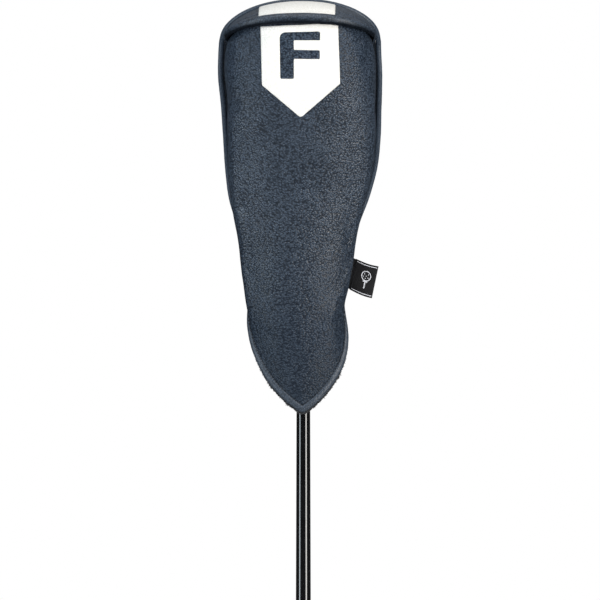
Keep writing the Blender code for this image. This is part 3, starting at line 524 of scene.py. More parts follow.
class Material:
    """A Principled material with node helpers; object coordinates are in metres."""

    def __init__(self, name, colour, roughness, metallic=0.0):
        self.data = bpy.data.materials.new(name)
        self.data.use_nodes = True
        self.tree = self.data.node_tree
        self.shader = self.tree.nodes["Principled BSDF"]
        self.set("Base Color", colour)
        self.set("Roughness", roughness)
        self.set("Metallic", metallic)
        self.data.diffuse_color = colour
        self.coords = self.add("ShaderNodeTexCoord").outputs["Object"]

    def set(self, key, value):
        self.shader.inputs[key].default_value = value

    def drive(self, key, socket):
        self.tree.links.new(socket, self.shader.inputs[key])

    def add(self, kind, inputs=None, **settings):
        return add_node(self.tree, kind, inputs, **settings)

    def stretched(self, scale):
        return self.add("ShaderNodeMapping", {"Vector": self.coords, "Scale": scale}).outputs[0]

    def math(self, operation, first, second):
        return self.add("ShaderNodeMath", {0: first, 1: second}, operation=operation).outputs[0]

    def weighted(self, first, first_weight, second, second_weight):
        left = self.math("MULTIPLY", first, first_weight)
        return self.math("ADD", left, self.math("MULTIPLY", second, second_weight))

    def noise(self, scale, detail=2.0, rough=0.5, coords=None, output="Fac"):
        inputs = {"Scale": scale, "Detail": detail, "Roughness": rough}
        inputs["Vector"] = coords or self.coords
        return self.add("ShaderNodeTexNoise", inputs).outputs[output]

    def voronoi(self, scale, feature="F1", coords=None, **inputs):
        inputs.update({"Scale": scale, "Vector": coords or self.coords})
        return self.add("ShaderNodeTexVoronoi", inputs, feature=feature).outputs["Distance"]

    def ramp(self, value, *stops):
        node = self.add("ShaderNodeValToRGB", {"Fac": value})
        elements = node.color_ramp.elements
        while len(elements) < len(stops):
            elements.new(0.5)
        for element, (position, colour) in zip(elements, stops):
            element.position = position
            element.color = colour
        return node.outputs["Color"]

    def remap(self, value, to, source=(0.0, 1.0)):
        inputs = {"From Min": source[0], "From Max": source[1]}
        inputs.update({"To Min": to[0], "To Max": to[1], "Value": value})
        return self.add("ShaderNodeMapRange", inputs).outputs["Result"]

    def mix(self, share, colour, socket):
        inputs = {0: share, 6: colour, 7: socket}
        return self.add("ShaderNodeMix", inputs, data_type="RGBA").outputs[2]

    def up_part(self, vector):
        return self.add("ShaderNodeSeparateXYZ", {0: vector}).outputs[2]

    def bump(self, height, strength, distance, after=None):
        inputs = {"Strength": strength, "Distance": distance, "Height": height}
        if after is not None:
            inputs["Normal"] = after
        return self.add("ShaderNodeBump", inputs).outputs["Normal"]


def leather(
    name, dark, light, grain, rough, strength, depth,
    stretch=(1, 1, 1), spec=0.5, under=None, by_height=False, tonal=0.20,
):
    """Pebbled leather: rounded cells with creases between, fine pores, slow changes of tone.

    under is painted shade: it darkens faces whose normal points less upwards than that; by_height
    is painted shade: it darkens and dulls it low down; tonal is how strongly the tone drifts.
    """
    mat = Material(name, light, 0.5)
    coords = mat.stretched(stretch)
    swirl = mat.noise(grain * 0.35, coords=coords, output="Color")
    warp_inputs = {0: swirl, 1: (0.45 / grain,) * 3, 2: coords}
    warped = mat.add("ShaderNodeVectorMath", warp_inputs, operation="MULTIPLY_ADD").outputs[0]
    cells = mat.voronoi(grain, "SMOOTH_F1", warped, Smoothness=0.35)
    crease = mat.voronoi(grain * 0.62, "DISTANCE_TO_EDGE", warped)
    pores = mat.noise(grain * 3.2, rough=0.6)
    crease = mat.remap(crease, to=(0.0, 1.0), source=(0.0, 0.22))
    dome = mat.remap(cells, to=(1.0, 0.0), source=(0.0, 0.75))
    height = mat.weighted(dome, 0.82, crease, 0.18)
    height = mat.math("ADD", height, mat.math("MULTIPLY", pores, 0.03))
    slow = mat.bump(mat.noise(38.0), strength=0.2, distance=0.0012)
    mat.drive("Normal", mat.bump(height, strength, depth, after=slow))
    tone = mat.weighted(crease, 0.12, mat.noise(60.0), tonal)
    tone = mat.math("ADD", tone, mat.math("MULTIPLY", dome, 0.68))
    colour = mat.ramp(tone, (0.20, dark), (0.80, light))
    if under is not None:
        # painted shade: colour and shine darken on faces turned downwards
        up = mat.up_part(mat.add("ShaderNodeNewGeometry").outputs["Normal"])
        lit = mat.remap(up, to=(under, 1.0), source=(-0.55, 0.15))
        colour = mat.mix(lit, toned(dark, 0.2), colour)
        mat.drive("Specular IOR Level", mat.math("MULTIPLY", lit, spec))
    elif by_height:
        # painted shade: colour darkens and shine dulls towards the bottom; shine also dulls near the
        # top
        z = mat.up_part(mat.coords)
        lit = mat.remap(z, to=(0.50, 1.0), source=(0.875, 1.01))
        colour = mat.mix(lit, toned(light, 0.18), colour)
        rise = mat.remap(z, to=(0.30, 1.0), source=(0.91, 0.995))
        fall = mat.remap(z, to=(1.0, 0.35), source=(1.07, 1.115))
        shine = mat.math("MULTIPLY", mat.math("MULTIPLY", rise, fall), spec)
        mat.drive("Specular IOR Level", shine)
    else:
        mat.set("Specular IOR Level", spec)
    mat.drive("Base Color", colour)
    wear = mat.weighted(mat.noise(150.0, detail=3.0), 0.6, dome, 0.4)
    mat.drive("Roughness", mat.remap(wear, to=(rough[1], rough[0])))
    return mat.data


def woven(name, dark, light, pitch, rough, strength):
    """Threads crossing along X and Z, pitch metres apart."""
    mat = Material(name, dark, rough)
    inputs = {"Scale": 1.0 / pitch * 0.3, "Distortion": 0.6, "Vector": mat.coords}
    waves = [
        mat.add("ShaderNodeTexWave", inputs, wave_type="BANDS", bands_direction=way)
        for way in "XZ"
    ]
    height = mat.math("MULTIPLY", waves[0].outputs["Fac"], waves[1].outputs["Fac"])
    mat.drive("Normal", mat.bump(height, strength, distance=0.00012))
    tone = mat.weighted(height, 0.7, mat.noise(900), 0.3)
    mat.drive("Base Color", mat.ramp(tone, (0.1, dark), (0.9, light)))
    mat.set("Specular IOR Level", 0.25)
    return mat.data


def metal(name, colour, rough, stretch, spread_, strength, grain=1800.0, worn=0.78):
    """Brushed or blasted metal; its roughness varies by spread_, its worn places are darker."""
    mat = Material(name, colour, rough, metallic=1.0)
    lines = mat.noise(grain, detail=3.0, rough=0.6, coords=mat.stretched(stretch))
    wear = mat.noise(70.0, detail=5.0, rough=0.65)
    both = mat.weighted(lines, 0.5, wear, 0.5)
    limits = max(0.03, rough - spread_), rough + spread_
    mat.drive("Roughness", mat.remap(both, to=limits, source=(0.25, 0.75)))
    mat.drive("Base Color", mat.ramp(wear, (0.3, toned(colour, worn)), (0.62, colour)))
    mat.drive("Normal", mat.bump(lines, strength, distance=0.00008))
    return mat.data


def gloss(name, colour, rough, coat, fleck=None):
    """Sprayed gloss finish under clear coat, with faint orange peel and hairline wear."""
    mat = Material(name, colour, rough + 0.12)
    mat.set("Coat Weight", coat)
    mat.set("Coat Roughness", rough * 0.4)
    mat.drive("Normal", mat.bump(mat.noise(420.0), strength=0.03, distance=0.0002))
    hair = mat.noise(1500.0, detail=3.0, rough=0.7, coords=mat.stretched((1, 1, 0.08)))
    mat.drive("Roughness", mat.remap(hair, to=(rough, rough + 0.18), source=(0.35, 0.8)))
    if fleck:
        shade = mat.ramp(mat.voronoi(3500.0), (0.0, fleck), (0.12, colour), (1.0, colour))
    else:
        lighter = toned(colour, 1.5, lift=0.002)
        shade = mat.ramp(mat.noise(30.0, detail=3.0), (0.3, colour), (0.8, lighter))
    mat.drive("Base Color", shade)
    return mat.data


def rubber(name, colour, rough, grain=1400.0, strength=0.4):
    """Matt grained surface with paler dust."""
    mat = Material(name, colour, rough)
    fine = mat.noise(grain, detail=4.0, rough=0.65)
    mat.drive("Normal", mat.bump(fine, strength, distance=0.00012))
    dust = mat.noise(55.0, detail=5.0, rough=0.6)
    tone = mat.weighted(fine, 0.4, dust, 0.6)
    lighter = toned(colour, 1.9, lift=0.004)
    mat.drive("Base Color", mat.ramp(tone, (0.3, colour), (0.8, lighter)))
    mat.drive("Roughness", mat.remap(dust, to=(rough - 0.1, rough + 0.12)))
    return mat.data


def paper(name, low, high):
    mat = Material(name, high, 0.9)
    mat.drive("Base Color", mat.ramp(mat.noise(9.0), (0.3, low), (0.7, high)))
    mat.drive("Normal", mat.bump(mat.noise(300.0), strength=0.05, distance=0.0002))
    mat.set("Specular IOR Level", 0.1)
    return mat.data


def fleece(name, dark, light):
    mat = Material(name, dark, 0.95)
    curl = mat.voronoi(900.0)
    fuzz = mat.noise(2600.0, detail=4.0, rough=0.7)
    height = mat.weighted(curl, 0.7, fuzz, 0.5)
    mat.drive("Normal", mat.bump(height, strength=0.9, distance=0.0006))
    mat.drive("Base Color", mat.ramp(height, (0.15, light), (0.7, dark)))
    mat.set("Sheen Weight", 0.35)
    mat.set("Sheen Roughness", 0.6)
    mat.set("Sheen Tint", (0.5, 0.52, 0.56, 1))
    return mat.data


NAVY = {"dark": (0.0075, 0.0120, 0.0200, 1), "light": (0.0530, 0.0740, 0.1060, 1)}
# the front's lower part gets painted shade through by_height, and its shine is dulled low down and
# near the top
FRONT_LEATHER = leather(
    "navy_leather_front", **NAVY, grain=660.0, rough=(0.26, 0.38), stretch=(1, 1, 1.3),
    strength=1.0, depth=0.00046, spec=0.62, by_height=True,
)
BACK_LEATHER = leather(
    "navy_leather_back", **NAVY, grain=660.0, rough=(0.28, 0.40), stretch=(1, 1, 1.2),
    strength=1.0, depth=0.00038, tonal=0.12,
)
TOP_LEATHER = leather(
    "navy_leather_top", **NAVY, grain=900.0, rough=(0.36, 0.48), strength=0.7, depth=0.00020,
)
# the roll's underside gets painted shade through under
ROLL_LEATHER = leather(
    "navy_leather_roll", **NAVY, grain=900.0, rough=(0.34, 0.46), strength=0.7, depth=0.00018,
    under=0.10,
)
PIPING = leather(
    "navy_piping_leather", (0.018, 0.027, 0.042, 1), (0.060, 0.082, 0.114, 1),
    grain=1500.0, rough=(0.30, 0.44), strength=0.4, depth=0.00012, spec=0.36,
)
HEM_LEATHER = leather(
    "navy_hem_leather", (0.020, 0.028, 0.040, 1), (0.050, 0.066, 0.092, 1),
    grain=900.0, rough=(0.36, 0.52), strength=0.4, depth=0.00016,
)
WHITE_LEATHER = leather(
    "white_leather", (0.620, 0.605, 0.565, 1), (0.735, 0.722, 0.700, 1),
    grain=1000.0, rough=(0.42, 0.58), strength=0.16, depth=0.00008,
)
THREAD = rubber("navy_thread", (0.003, 0.0045, 0.008, 1), 0.7, grain=3500.0, strength=0.6)
WHITE_THREAD = rubber("white_thread", (0.74, 0.72, 0.68, 1), 0.7, grain=3500.0, strength=0.5)
FLEECE = fleece("black_fleece", (0.0025, 0.0027, 0.0032, 1), (0.012, 0.013, 0.016, 1))
FOAM = rubber("grey_foam", (0.25, 0.25, 0.26, 1), 0.95, grain=1200.0, strength=0.9)
ELASTIC = woven(
    "black_elastic", (0.006, 0.006, 0.007, 1), (0.03, 0.03, 0.034, 1),
    pitch=0.0006, rough=0.8, strength=0.7,
)
LABEL = woven(
    "black_woven_label", (0.004, 0.004, 0.005, 1), (0.016, 0.016, 0.018, 1),
    pitch=0.00034, rough=0.78, strength=0.5,
)
LABEL_PRINT = woven(
    "pale_woven_thread", (0.45, 0.46, 0.50, 1), (0.80, 0.81, 0.85, 1),
    pitch=0.00034, rough=0.7, strength=0.6,
)
STEEL = metal(
    "satin_steel", (0.57, 0.575, 0.59, 1), 0.30,
    stretch=(1, 0.06, 1), spread_=0.07, strength=0.05, worn=0.90,
)
FACE = metal(
    "blasted_face", (0.48, 0.49, 0.51, 1), 0.46,
    stretch=(1, 1, 1), spread_=0.12, strength=0.22, grain=2600.0,
)
CROWN = gloss(
    "gloss_navy_crown", (0.004, 0.011, 0.028, 1), rough=0.08, coat=1.0, fleck=(0.05, 0.09, 0.16, 1)
)
MARK = gloss("white_mark", (0.72, 0.73, 0.75, 1), rough=0.2, coat=0.5)
TUNGSTEN = metal(
    "tungsten", (0.30, 0.30, 0.315, 1), 0.38, stretch=(1, 1, 1), spread_=0.12, strength=0.1
)
SCREW = metal(
    "screw_steel", (0.50, 0.50, 0.52, 1), 0.27, stretch=(1, 1, 0.05), spread_=0.1, strength=0.05
)
ALUMINIUM = metal(
    "black_aluminium", (0.032, 0.033, 0.037, 1), 0.36,
    stretch=(1, 1, 0.04), spread_=0.12, strength=0.06,
)
SHAFT = gloss("gloss_black_shaft", (0.0016, 0.0016, 0.0020, 1), rough=0.07, coat=1.0)
FERRULE = gloss("black_ferrule", (0.0022, 0.0022, 0.0028, 1), rough=0.10, coat=0.8)
GRIP = rubber("grip_rubber", (0.010, 0.010, 0.011, 1), 0.78, grain=1500.0, strength=0.5)
GRIP_CAP = rubber("grip_cap_rubber", (0.012, 0.012, 0.013, 1), 0.7, grain=1500.0)
SEAL = rubber("seal_rubber", (0.010, 0.010, 0.011, 1), 0.6, grain=1500.0, strength=0.2)
TAPE = rubber("grip_tape", (0.60, 0.56, 0.46, 1), 0.85, grain=2600.0, strength=0.5)
FLOOR = paper("pale_floor", (0.90, 0.90, 0.90, 1), (0.93, 0.93, 0.93, 1))


# ================================================================= cloth run of the big panels
SIM_ROWS, SIM_COLUMNS, SIM_FRAMES = 45, 32, 20
SIM_LIMITS = (-1.2, 2.2)  # mm a point may move along its normal
CLOTH = {
    "quality": 6,
    "mass": 0.25,
    "tension_stiffness": 22,
    "compression_stiffness": 22,
    "shear_stiffness": 9,
    "bending_stiffness": 3.5,
    "tension_damping": 8,
    "compression_damping": 8,
    "air_damping": 2.0,
    "vertex_group_mass": "pin",
    "shrink_min": -0.013,
    "shrink_max": -0.013,
    "use_pressure": True,
}


def simulated(top, trim, back, pressure):
    """Padded panel sewn down round its edge: how far each grid point moved along its normal."""
    levels = np.linspace(0.0, top, SIM_ROWS)
    angles = panel_grid(levels, trim, SIM_COLUMNS - 1, back)[0]
    normals = normal_at(angles, levels[:, None], high=min(NEAR_TOP, top))
    points = cover(angles, levels[:, None])
    obj = scrap_mesh("sim", points.reshape(-1, 3), quads(SIM_ROWS, SIM_COLUMNS))
    edge = [
        i * SIM_COLUMNS + j
        for i in range(SIM_ROWS) for j in range(SIM_COLUMNS)
        if i in (0, SIM_ROWS - 1) or j in (0, SIM_COLUMNS - 1)
    ]
    obj.vertex_groups.new(name="pin").add(edge, 1.0, "REPLACE")
    modifier = obj.modifiers.new("cloth", "CLOTH")
    for key, value in CLOTH.items():
        setattr(modifier.settings, key, value)
    modifier.settings.uniform_pressure_force = pressure
    modifier.settings.effector_weights.gravity = 0
    modifier.collision_settings.use_collision = False
    modifier.point_cache.frame_start, modifier.point_cache.frame_end = 1, SIM_FRAMES
    for number in range(1, SIM_FRAMES + 1):
        SCENE.frame_set(number)
        bpy.context.view_layer.update()
        bpy.context.evaluated_depsgraph_get().update()
    settled = obj.evaluated_get(bpy.context.evaluated_depsgraph_get())
    moved = np.empty(points.size)
    settled.data.vertices.foreach_get("co", moved)
    moved = moved.reshape(points.shape) / MM
    bpy.data.objects.remove(obj, do_unlink=True)
    SCENE.frame_set(1)
    move = np.sum((moved - points) * normals, axis=-1)
    if not np.isfinite(move).all():
        # a run that blew up leaves the panel as it was
        return np.zeros((SIM_ROWS, SIM_COLUMNS))
    return np.clip(move, *SIM_LIMITS)


def upsample(grid, rows, columns):
    old_rows, old_columns = grid.shape
    y, x = np.linspace(0, old_rows - 1, rows), np.linspace(0, old_columns - 1, columns)
    wide = np.array([np.interp(x, np.arange(old_columns), row) for row in grid])
    tall = [np.interp(y, np.arange(old_rows), wide[:, j]) for j in range(columns)]
    return np.array(tall).T


FRONT_SIM = simulated(FRONT_TOP, trim=0.02, back=False, pressure=3.0)
BACK_SIM = simulated(BACK_TOP, trim=0.03, back=True, pressure=2.0)


# ================================================================= leather panels
COARSE = 8  # outer cells to one inner cell


def inner_side(outer, normals):
    return (outer - normals * LEATHER)[::COARSE, ::COARSE]


def drawn_in(level, from_seam):
    """How far the front's layers are drawn in near the side seams."""
    upper = ease(0.30, 0.44, level)
    depth = 3.0 * upper + 0.8 * (1 - upper) * ease(0.0, 0.05, level)
    return depth * bell(from_seam, 13.0 + 4.0 * upper)


def dress_front(levels, angles, from_seam, share):
    """How far the front leather stands off the plain skin."""
    points = cover(angles, levels[:, None])
    level = np.broadcast_to(levels[:, None], angles.shape)
    below_roll = (FRONT_TOP - level) * 245.0
    out = 0.32 * noise(points, 24, seed=1) + 0.13 * noise(points, 9, seed=2)
    # small tucks gathered under the roll
    out += 0.16 * noise1(points[..., 0], 3.4, seed=5) * bell(below_roll, 7.0)
    # shallow drag lines running down from the widest part to the neck
    drag = noise(points * np.array([1, 1, 0.22]), 9.0, seed=11)
    out += 0.22 * bell(level, width=0.16, centre=0.3) * drag
    # folds at the neck's sides
    neck = bell(level, width=0.05, centre=0.11) * ease(0.5, 0.9, np.abs(2 * share - 1))
    out += 0.4 * neck * noise1(points[..., 2] * 0.5 + points[..., 0], 7.0, seed=8)
    out = out * ease(0.02, 0.07, level)
    # pulled in along the piping, and under the roll, deeper towards its ends
    out -= 1.7 * bell(from_seam, 3.2) * ease(0.30, 0.44, level) + drawn_in(level, from_seam)
    roll_end = ease(26, 44, np.abs(points[..., 0] + 1.5))
    out -= (0.9 + 1.5 * roll_end) * bell(below_roll, 3.2 + 2.6 * roll_end)
    return np.maximum(out, -4.6 + 1.4 * bell(below_roll, 9.0))


def front_skin():
    rows, columns = 384, 216
    levels = np.linspace(0.0, FRONT_TOP, rows + 1)
    angles, from_seam, share = panel_grid(levels, 0.012, columns)
    normals = normal_at(angles, levels[:, None], high=BELOW_RIDGE)
    out = dress_front(levels, angles, from_seam, share)
    padded = upsample(FRONT_SIM, rows + 1, columns + 1) * ease(0.02, 0.10, levels)[:, None]
    out = out + padded * ease(10.0, 34.0, from_seam)
    return cover(angles, levels[:, None]) + normals * out[..., None], normals


FRONT_SKIN, FRONT_NORMALS = front_skin()
front = closed_sheet(
    "front_leather", FRONT_SKIN, inner_side(FRONT_SKIN, FRONT_NORMALS), FRONT_LEATHER
)


def dress_back(levels, angles, from_seam, share):
    points = cover(angles, levels[:, None])
    level = np.broadcast_to(levels[:, None], angles.shape)
    out = 0.3 * noise(points, 24, seed=21) + 0.12 * noise(points, 9, seed=22)
    # pulled in along the piping
    out -= 1.5 * bell(from_seam, 2.8) * ease(0.10, 0.25, level)
    # gathers round the neck, 6.4 mm apart
    run = share * 90.0
    waves = np.cos(run * 2 * PI / 6.4 + 1.6 * noise1(run, 9, seed=3))
    gather = bell(level, width=0.048, centre=0.085)
    out += gather * (0.55 * waves - 0.75) * ease(0.02, 0.12, 0.5 - np.abs(share - 0.5))
    # pulled in at the top seam
    out -= 0.7 * bell((BACK_TOP - level) * 260, 3.0)
    return out


def blur_rows(grid, places, width):
    """Each row mixed with those whose place lies within about width of it."""
    weights = bell(places[:, None] - places[None, :], width)
    return np.einsum("ij,jkc->ikc", weights / weights.sum(1, keepdims=True), grid)


def tucked(points, levels):
    """At the shoulders the panel's edge folds over: it is kept behind the piping there."""
    half = 55.9
    centre = lean_x(points[..., 2])
    x = centre + np.clip(points[..., 0] - centre, -half, half)
    keep = ease(0.878, 0.90, levels)[:, None]
    return np.stack([points[..., 0] * (1 - keep) + x * keep, points[..., 1], points[..., 2]], -1)


def back_panel():
    columns = 168
    above = RIDGE + (BACK_TOP - RIDGE) * np.linspace(0, 1, 49)[1:]
    levels = np.concatenate([np.linspace(0.0, RIDGE, 241), above])
    angles, from_seam, share = panel_grid(levels, 0.018, columns, True)
    normals = normal_at(angles, levels[:, None])
    # the shoulder's kink is rounded in the normals, so that nothing stands out there
    rounding = bell(levels, width=0.045, centre=RIDGE)[:, None, None]
    normals = unit(normals * (1 - rounding) + blur_rows(normals, levels, 0.016) * rounding)
    below_kink = normals[np.abs(levels - 0.86).argmin()][None]
    turned = np.sum(normals * below_kink, axis=-1) < 0.25
    turned &= (np.abs(levels - RIDGE) < 0.02)[:, None]
    normals = np.where(turned[..., None], below_kink, normals)

    padded = np.array([
        np.interp(levels, np.linspace(0, BACK_TOP, SIM_ROWS), column)
        for column in upsample(BACK_SIM, SIM_ROWS, columns + 1).T
    ]).T
    padded = padded * ease(0.02, 0.10, levels)[:, None] * ease(3.0, 20.0, from_seam)
    out = dress_back(levels, angles, from_seam, share) + padded
    shoulder = bell(levels, width=0.030, centre=0.905)[:, None]
    out = out - 0.6 * shoulder * bell(from_seam, 5.0)
    skin = cover(angles, levels[:, None]) + normals * out[..., None]
    # the skin is evened out round the ridge, along the middle column's length
    near = bell(levels, width=0.055, centre=RIDGE)[:, None] * ease(4.0, 18.0, from_seam)
    near = near[..., None]
    skin = skin * (1 - near) + blur_rows(skin, run_of(skin[:, columns // 2]), 7.0) * near
    inner = tucked(inner_side(skin, normals), levels[::COARSE])
    return closed_sheet("back_leather", tucked(skin, levels), inner, BACK_LEATHER)


def top_gusset():
    """Panel between the ridge and the top seam."""
    levels = np.linspace(0.9035, 0.9985, 73)
    angles, from_seam, _ = panel_grid(levels, 0.09, 200)
    normals = normal_at(angles, levels[:, None], ABOVE_RIDGE, TOP_EDGE)
    points = cover(angles, levels[:, None])

    def distance_to(level):
        return np.linalg.norm(points - cover(angles, np.full_like(angles, level)), axis=-1)

    off_centre = np.abs(points[..., 0] + 1.5)
    out = 0.22 * noise(points, 14, seed=31) + 0.10 * noise(points, 5, seed=32)
    # a crease runs just above the ridge's ends
    crease = bell(distance_to(RIDGE), width=0.85, centre=7.2 - 0.02 * off_centre)
    out -= 0.42 * crease * ease(24, 34, off_centre)
    # pulled in along the side and top seams
    out -= 1.9 * bell(from_seam, 3.6)
    out -= (0.9 + 0.9 * ease(20, 38, off_centre)) * bell(distance_to(TOP_EDGE), 2.9)
    skin = points + normals * out[..., None]
    return closed_sheet("gusset_leather", skin, inner_side(skin, normals), TOP_LEATHER)


back = back_panel()
gusset = top_gusset()


# ================================================================= ridge roll and piping
def ring_profile(normal_radius, binormal_radius, angles):
    return np.stack([normal_radius * np.cos(angles), binormal_radius * np.sin(angles)], -1)


def ridge_roll():
    angles = np.radians(np.linspace(-80, 75, 420))
    levels = np.full_like(angles, RIDGE)
    normals = normal_at(angles, levels, 0.88, 0.92)
    lift = 1.25 - 2.5 * ease(58, 78, np.abs(np.degrees(angles)))  # sinks in at its ends
    path, run = resample(cover(angles, levels) + normals * lift[:, None], 0.42)
    even = np.linspace(0, run[-1], len(normals))
    up = np.stack([np.interp(run, even, normals[:, k]) for k in range(3)], -1)
    angle = np.interp(run, even, angles)
    size = 1.15 + 2.5 * np.maximum(np.cos(angle), 0.0) ** 0.8
    size = size * (0.30 + 0.70 * ease(0, 13, np.minimum(run, run[-1] - run)))
    size = size[:, None]
    around = round_angles(26)
    along = np.broadcast_to(run[:, None], (len(run), len(around)))
    # puckered on its lower side, hardly at all above
    low = np.clip(np.sin(around), 0, 1)[None, :]
    high = np.clip(-np.sin(around), 0, 1)[None, :]
    pucker = noise1(along, 1.9, seed=41) * 0.6 + noise1(along, 4.6, seed=42) * 0.5
    radius = size * (1 + 0.02 * noise1(along, 12, seed=43))
    radius = radius + 0.30 * pucker * low * (size / 3.5) + 0.05 * pucker * high
    profile = ring_profile(radius * 0.92, radius * 1.06, around)
    return sweep("ridge_roll_leather", path, up, profile, ROLL_LEATHER)


def seam_run(side):
    """Path and normals up one side seam; side is 1 for +X, -1 for -X."""
    levels = np.concatenate([np.linspace(0.004, RIDGE, 300), np.linspace(0.902, 0.975, 40)])
    normals = normal_at(side * (seam_angle(levels) - 0.02), levels)
    out = -0.9 + 1.6 * ease(0.29, 0.43, levels)
    points = cover(side * seam_angle(levels), levels) + normals * out[:, None]
    if side < 0:
        points[:, 0] += 0.9 * bell(levels, width=0.14, centre=0.44)
    return points, normals


def piping():
    """Cord up the right seam, over the top and down the left seam."""
    turn = np.radians(np.linspace(85, -85, 240))
    zero = 0 * turn
    shift = np.stack([0.35 * np.sin(turn), zero, 0.5 * np.cos(turn)], -1)
    top = cover(turn, np.ones_like(turn)) + shift
    top_normals = unit(np.stack([np.sin(turn) * 0.8, -0.35 + zero, np.cos(turn)], -1))
    right, right_normals = seam_run(1)
    left, left_normals = seam_run(-1)
    raw = np.concatenate([right, top, left[::-1]])
    normals = np.concatenate([right_normals, top_normals, left_normals[::-1]])
    path, run = resample(raw, 0.5)
    up = unit(np.stack([np.interp(run, run_of(raw), normals[:, k]) for k in range(3)], -1))
    path, up = soften(path, 3.0), unit(soften(up, 6.0))
    along, around = run[:, None], round_angles(16)[None, :]
    wrinkle = noise1(along + 0.55 * around, 1.15, seed=51) * 0.5
    wrinkle = wrinkle + noise1(along - 0.4 * around, 3.5, seed=52) * 0.5
    radius = 1.95 + 0.07 * wrinkle + 0.06 * noise1(along, 14, seed=53)
    return sweep("piping_leather", path, up, ring_profile(radius, radius, around), PIPING)


roll = ridge_roll()
pipe = piping()

# ================================================================= hems
# mm above the mouth's edge, mm off the skin
HEM_PROFILE = [
    (5.15, -0.25), (4.95, 0.45), (4.55, 0.92), (4.0, 1.26), (3.2, 1.5), (2.2, 1.58),
    (1.2, 1.42), (0.45, 1.02), (-0.1, 0.4), (-0.4, -0.45), (-0.38, -1.35), (0.0, -2.05),
    (0.6, -2.45), (2.0, -2.6), (3.6, -2.5), (3.9, -1.7),
]
HEM_PITCH = 2.1  # from stitch to stitch
HEM_STITCH_HALF, HEM_THREAD_RADIUS = 0.68, 0.30
FIBRES = 1100


def hem_line(back):
    """The mouth's edge: angles, directions along it, up the skin and out of it, mm per level."""
    start, end = panel_ends(float(seam_angle(0.0)), 0.03, back)
    angles, length = spread(np.array([0.0]), start, end, 300)
    angles = angles[0]
    zero, step = np.zeros_like(angles), 0.012
    along = unit(cover(angles + step, zero) - cover(angles - step, zero))
    rise = (cover(angles, np.full_like(angles, step)) - cover(angles, zero)) / step
    rise = rise - along * np.sum(rise * along, axis=1, keepdims=True)
    speed = np.linalg.norm(rise, axis=1)
    up = rise / speed[:, None]
    return SimpleNamespace(
        angles=angles, length=float(length[0]), along=along, up=up, speed=speed,
        out=unit(np.cross(along, up)), run=np.linspace(0, float(length[0]), len(angles)),
    )


def hem_step(line, place):
    """Index of the point before a place along the hem, and the share of the step past it."""
    position = np.interp(place, line.run, np.arange(len(line.angles)))
    index = int(min(len(line.angles) - 2, position))
    return index, position - index


def hem_leather(name, line):
    rows = []
    for k, (up, out) in enumerate(HEM_PROFILE):
        ups, outs = np.full_like(line.angles, up), np.full_like(line.angles, out)
        if out > 0:
            outs = outs + 0.10 * noise1(line.run, 3.2, seed=60 + k % 2)
            outs = outs + 0.07 * noise1(line.run, 1.5, seed=63)
            # drawn in at each stitch
            pull = np.maximum(0, np.cos(2 * PI * line.run / HEM_PITCH)) ** 2
            outs = outs - (0.22 * pull if up > 3.4 else 0.05 * pull)
        if up < 1:
            ups = ups + 0.12 * noise1(line.run, 6.0, seed=64)
        else:
            ups = ups + 0.10 * noise1(line.run, 5.0, seed=65)
        skin = cover(line.angles, np.maximum(ups, 0.0) / line.speed)
        below = line.up * np.minimum(ups, 0.0)[:, None]
        rows.append(skin + below + line.out * outs[:, None])
    points = np.stack(rows, 1)
    faces = tube_faces(*points.shape[:2])
    return mesh_object(name, points.reshape(-1, 3), faces, HEM_LEATHER, 70)


def hem_stitches(name, line):
    """Topstitch sunk along the hem's upper edge."""
    parts = []
    for i in range(int(line.length / HEM_PITCH)):
        middle = (i + 0.5) * HEM_PITCH
        ends = []
        for place in (middle - HEM_STITCH_HALF, middle + HEM_STITCH_HALF):
            k, share = hem_step(line, place)
            angle, out, speed = (
                values[k] * (1 - share) + values[k + 1] * share
                for values in (line.angles, line.out, line.speed)
            )
            ends.append(cover(angle, 4.95 / speed) + out * 0.62)
        parts.append(capsule(*ends, HEM_THREAD_RADIUS, out))
    return join_parts(name, parts, THREAD)


def fibre(line, rng):
    """One short curled fibre below the mouth's edge."""
    place = rng.uniform(0.0, line.length)
    k, _ = hem_step(line, place)
    up, out, along = line.up[k], line.out[k], line.along[k]
    base = cover(line.angles[k], 0.0) - up * rng.uniform(0.7, 1.7)
    base = base + out * rng.uniform(-3.4, -1.2) - along * rng.uniform(0, 0.5)
    tuft = 0.5 + 0.5 * noise1(np.array([place]), 2.6, seed=71)[0]
    length = rng.uniform(0.5, 1.1) + 1.2 * tuft**2
    lean = -up * rng.uniform(0.65, 1.0) + along * rng.uniform(-0.7, 0.7)
    lean = lean + out * rng.uniform(-0.35, 0.55)
    lean = lean / np.linalg.norm(lean)
    side = unit(np.cross(lean, along + 0.01))
    third = np.cross(lean, side)
    bend = rng.uniform(-0.5, 0.5)
    radius = rng.uniform(0.16, 0.34)
    points = []
    for share, size in ((0, 1.0), (0.5, 0.8), (1.0, 0.12)):
        centre = base + lean * length * share + side * bend * share * share
        for j in range(4):
            turn = PI / 2 * j
            around = math.cos(turn) * side + math.sin(turn) * third
            points.append(centre + radius * size * around)
    return points, tube_faces(3, 4)


def fleece_edge(name, line, seed):
    """Fleece showing past the edge: fibres standing on a soft uneven roll of pile."""
    rng = np.random.default_rng(seed)
    parts = [fibre(line, rng) for _ in range(FIBRES)]
    around = round_angles(14)
    edge = cover(line.angles, np.zeros_like(line.angles)) - line.out * 2.3 - line.up * 1.0
    radius = 1.15 + 0.22 * noise1(line.run, 2.2, seed=72)[:, None]
    radius = radius + 0.16 * noise1(line.run[:, None] + 2.0 * around[None, :], 1.3, seed=73)
    pile = edge[:, None, :] + line.out[:, None, :] * (radius * np.cos(around))[..., None]
    pile = pile + line.up[:, None, :] * (radius * np.sin(around))[..., None]
    parts.append((pile.reshape(-1, 3), tube_faces(*pile.shape[:2])))
    return join_parts(name, parts, FLEECE, 50)


